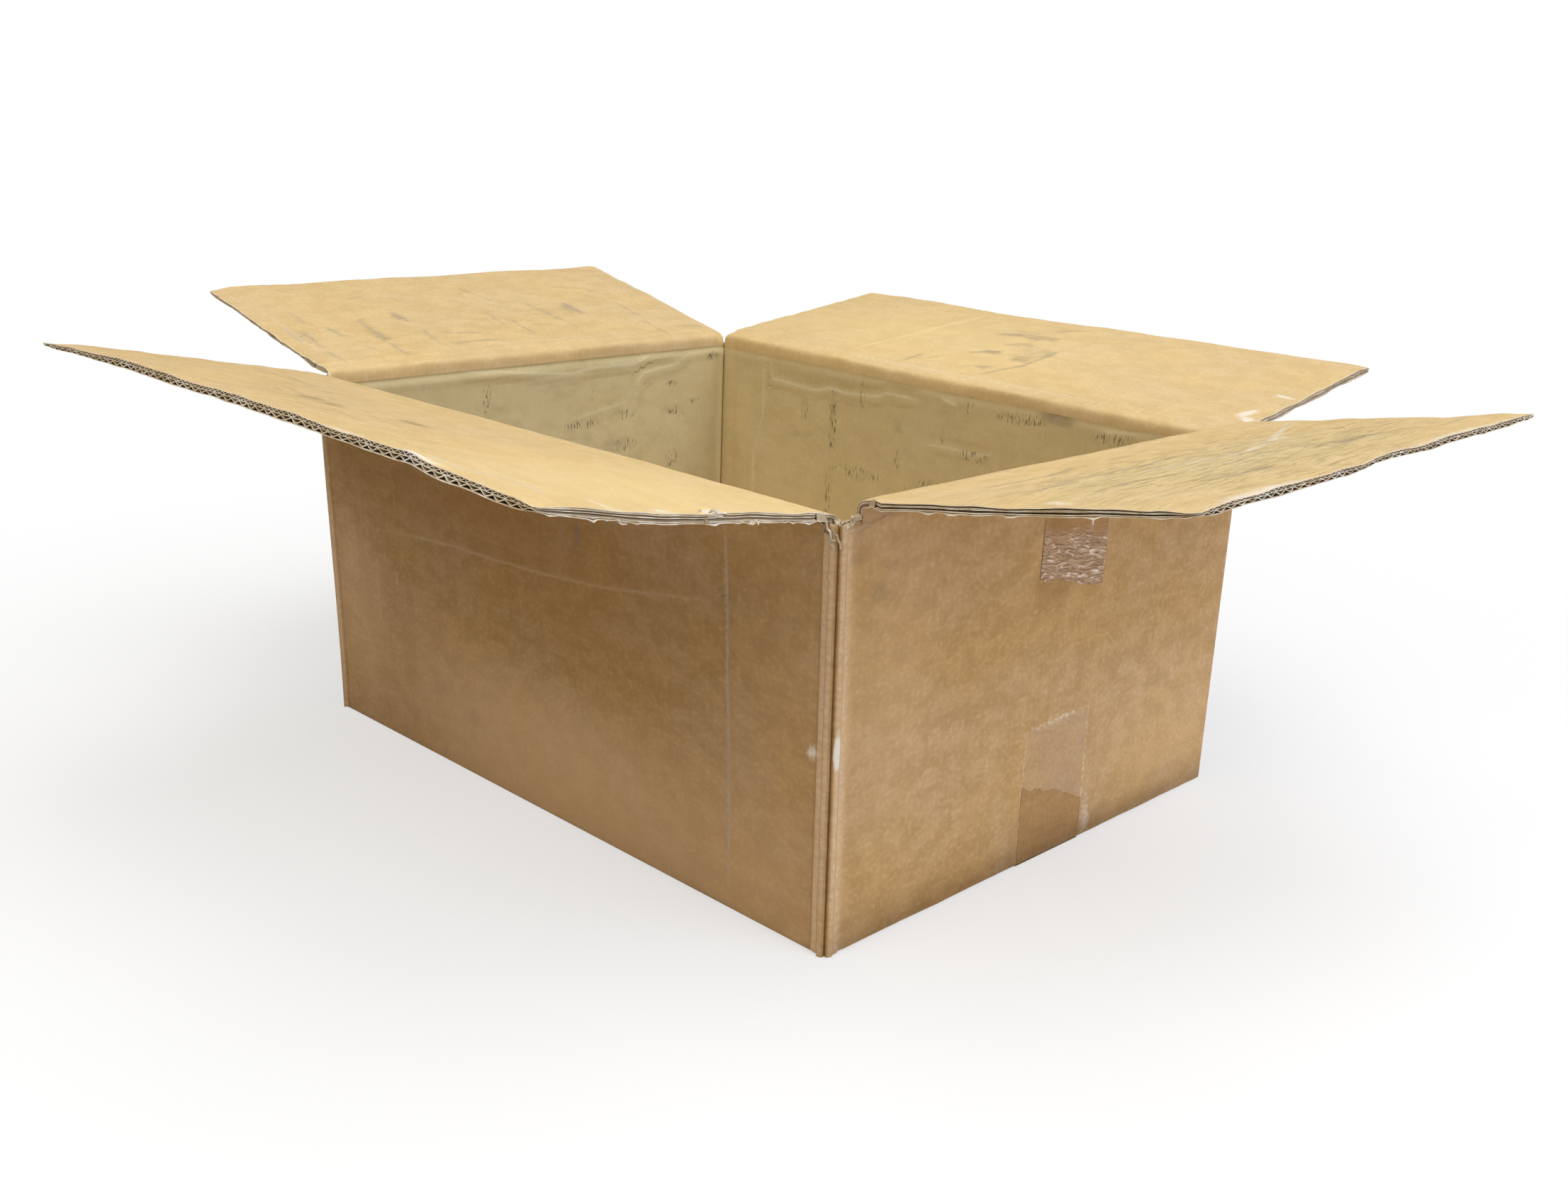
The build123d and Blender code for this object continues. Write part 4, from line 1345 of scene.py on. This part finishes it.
def make_stage():
    """White floor, lamps and the even light around them."""
    mesh = bpy.data.meshes.new("floor")
    reach = 6.0
    corners = [(-reach, -reach, 0), (reach, -reach, 0), (reach, reach, 0), (-reach, reach, 0)]
    mesh.from_pydata(corners, [], [(0, 1, 2, 3)])
    floor = bpy.data.objects.new("floor", mesh)
    floor.location.z = -0.1 * MM
    mesh.materials.append(floor_material())
    bpy.context.scene.collection.objects.link(floor)

    # The world is white for the camera, and a faint warm light for everything else
    world = bpy.data.worlds.new("studio")
    bpy.context.scene.world = world
    s = Shader(world)
    path = s.node("LightPath").outputs
    seen = s.math("MAXIMUM", path["Is Camera Ray"], path["Is Transmission Ray"])
    light = s.node("Background", {"Color": (1.0, 0.98, 0.95, 1), "Strength": 0.1}).outputs[0]
    white = s.node("Background", {"Color": (1, 1, 1, 1), "Strength": 1.0}).outputs[0]
    s.finish("OutputWorld", s.node("MixShader", {0: seen, 1: light, 2: white}).outputs[0])

    # Each lamp: where it is, where it points, its two sides in metres, its power and its colour
    for name, place, target, sides, power, colour in (
        ("key", (0.1, -1.25, 1.45), (0, 0, 0.1), (1.5, 1.5), 17.5, (1, 0.97, 0.88)),
        ("overhead", (0.3, 0.2, 1.7), (0, 0, 0.1), (1.6, 1.6), 25, (1, 1, 1)),
        ("side", (1.7, 0.4, 1.0), (0, 0, 0.1), (1.2, 1.2), 15, (0.78, 0.885, 1.08)),
        ("low_right", (0.3, 0.03, 0.004), (0.3, 0.03, 1), (0.2, 0.34), 0.32, (0.8, 0.89, 1.0)),
    ):
        lamp = bpy.data.lights.new(name, "AREA")
        lamp.shape = "RECTANGLE"
        lamp.size, lamp.size_y = sides
        lamp.energy = power
        lamp.color = colour
        made = bpy.data.objects.new(name, lamp)
        made.location = place
        made.visible_camera = False
        made.visible_glossy = False
        made.rotation_mode = "QUATERNION"
        made.rotation_quaternion = (Vector(place) - Vector(target)).to_track_quat("Z", "Y")
        bpy.context.scene.collection.objects.link(made)


def make_camera():
    """The camera that took the photograph, from a fit to the corners of the box."""
    photo_width = 2212
    focal_pixels = 2160
    camera = bpy.data.cameras.new("camera")
    camera.sensor_width = 36
    camera.lens = focal_pixels / photo_width * camera.sensor_width
    camera.clip_start = 0.01
    camera.clip_end = 20
    made = bpy.data.objects.new("camera", camera)
    right = Vector((0.70749, 0.70561, 0.03967))
    forward = Vector((-0.67147, 0.68864, -0.27369))
    right = (right - forward * right.dot(forward)).normalized()
    upward = right.cross(forward)
    turn = Matrix((right, upward, -forward)).transposed()
    made.matrix_world = Matrix.Translation((0.5471, -0.5446, 0.3055)) @ turn.to_4x4()
    bpy.context.scene.collection.objects.link(made)
    bpy.context.scene.camera = made


bpy.context.scene.view_settings.view_transform = "Standard"
make_camera()
make_stage()

BOARD_MATERIALS = (
    # In each liner the third colour is its painted light and the fourth its painted shade
    kraft_paper(
        "outer_liner", rgb(178, 141, 91), rgb(204, 168, 122), rgb(228, 190, 146), rgb(150, 104, 44),
        rgb(152, 116, 69), rgb(178, 146, 108), LARGE_PITCH, 0.66,
    ),
    kraft_paper(
        "inner_liner", rgb(212, 184, 133), rgb(228, 203, 155), rgb(238, 212, 150), rgb(192, 190, 152),
        rgb(194, 165, 115), rgb(208, 183, 141), SMALL_PITCH, 0.74,
    ),
    cut_paper("cut_edge"),
    flute_paper("flute_paper"),
)

wall_plan, wall_points = make_walls(BOARD_MATERIALS)
make_bottom_flaps(BOARD_MATERIALS)
for flap_name in PANELS:
    make_flap(flap_name, BOARD_MATERIALS)
    make_fold(flap_name, wall_plan, wall_points, BOARD_MATERIALS)

make_tapes(tape_film("packing_tape"))
make_torn_paper(BOARD_MATERIALS)
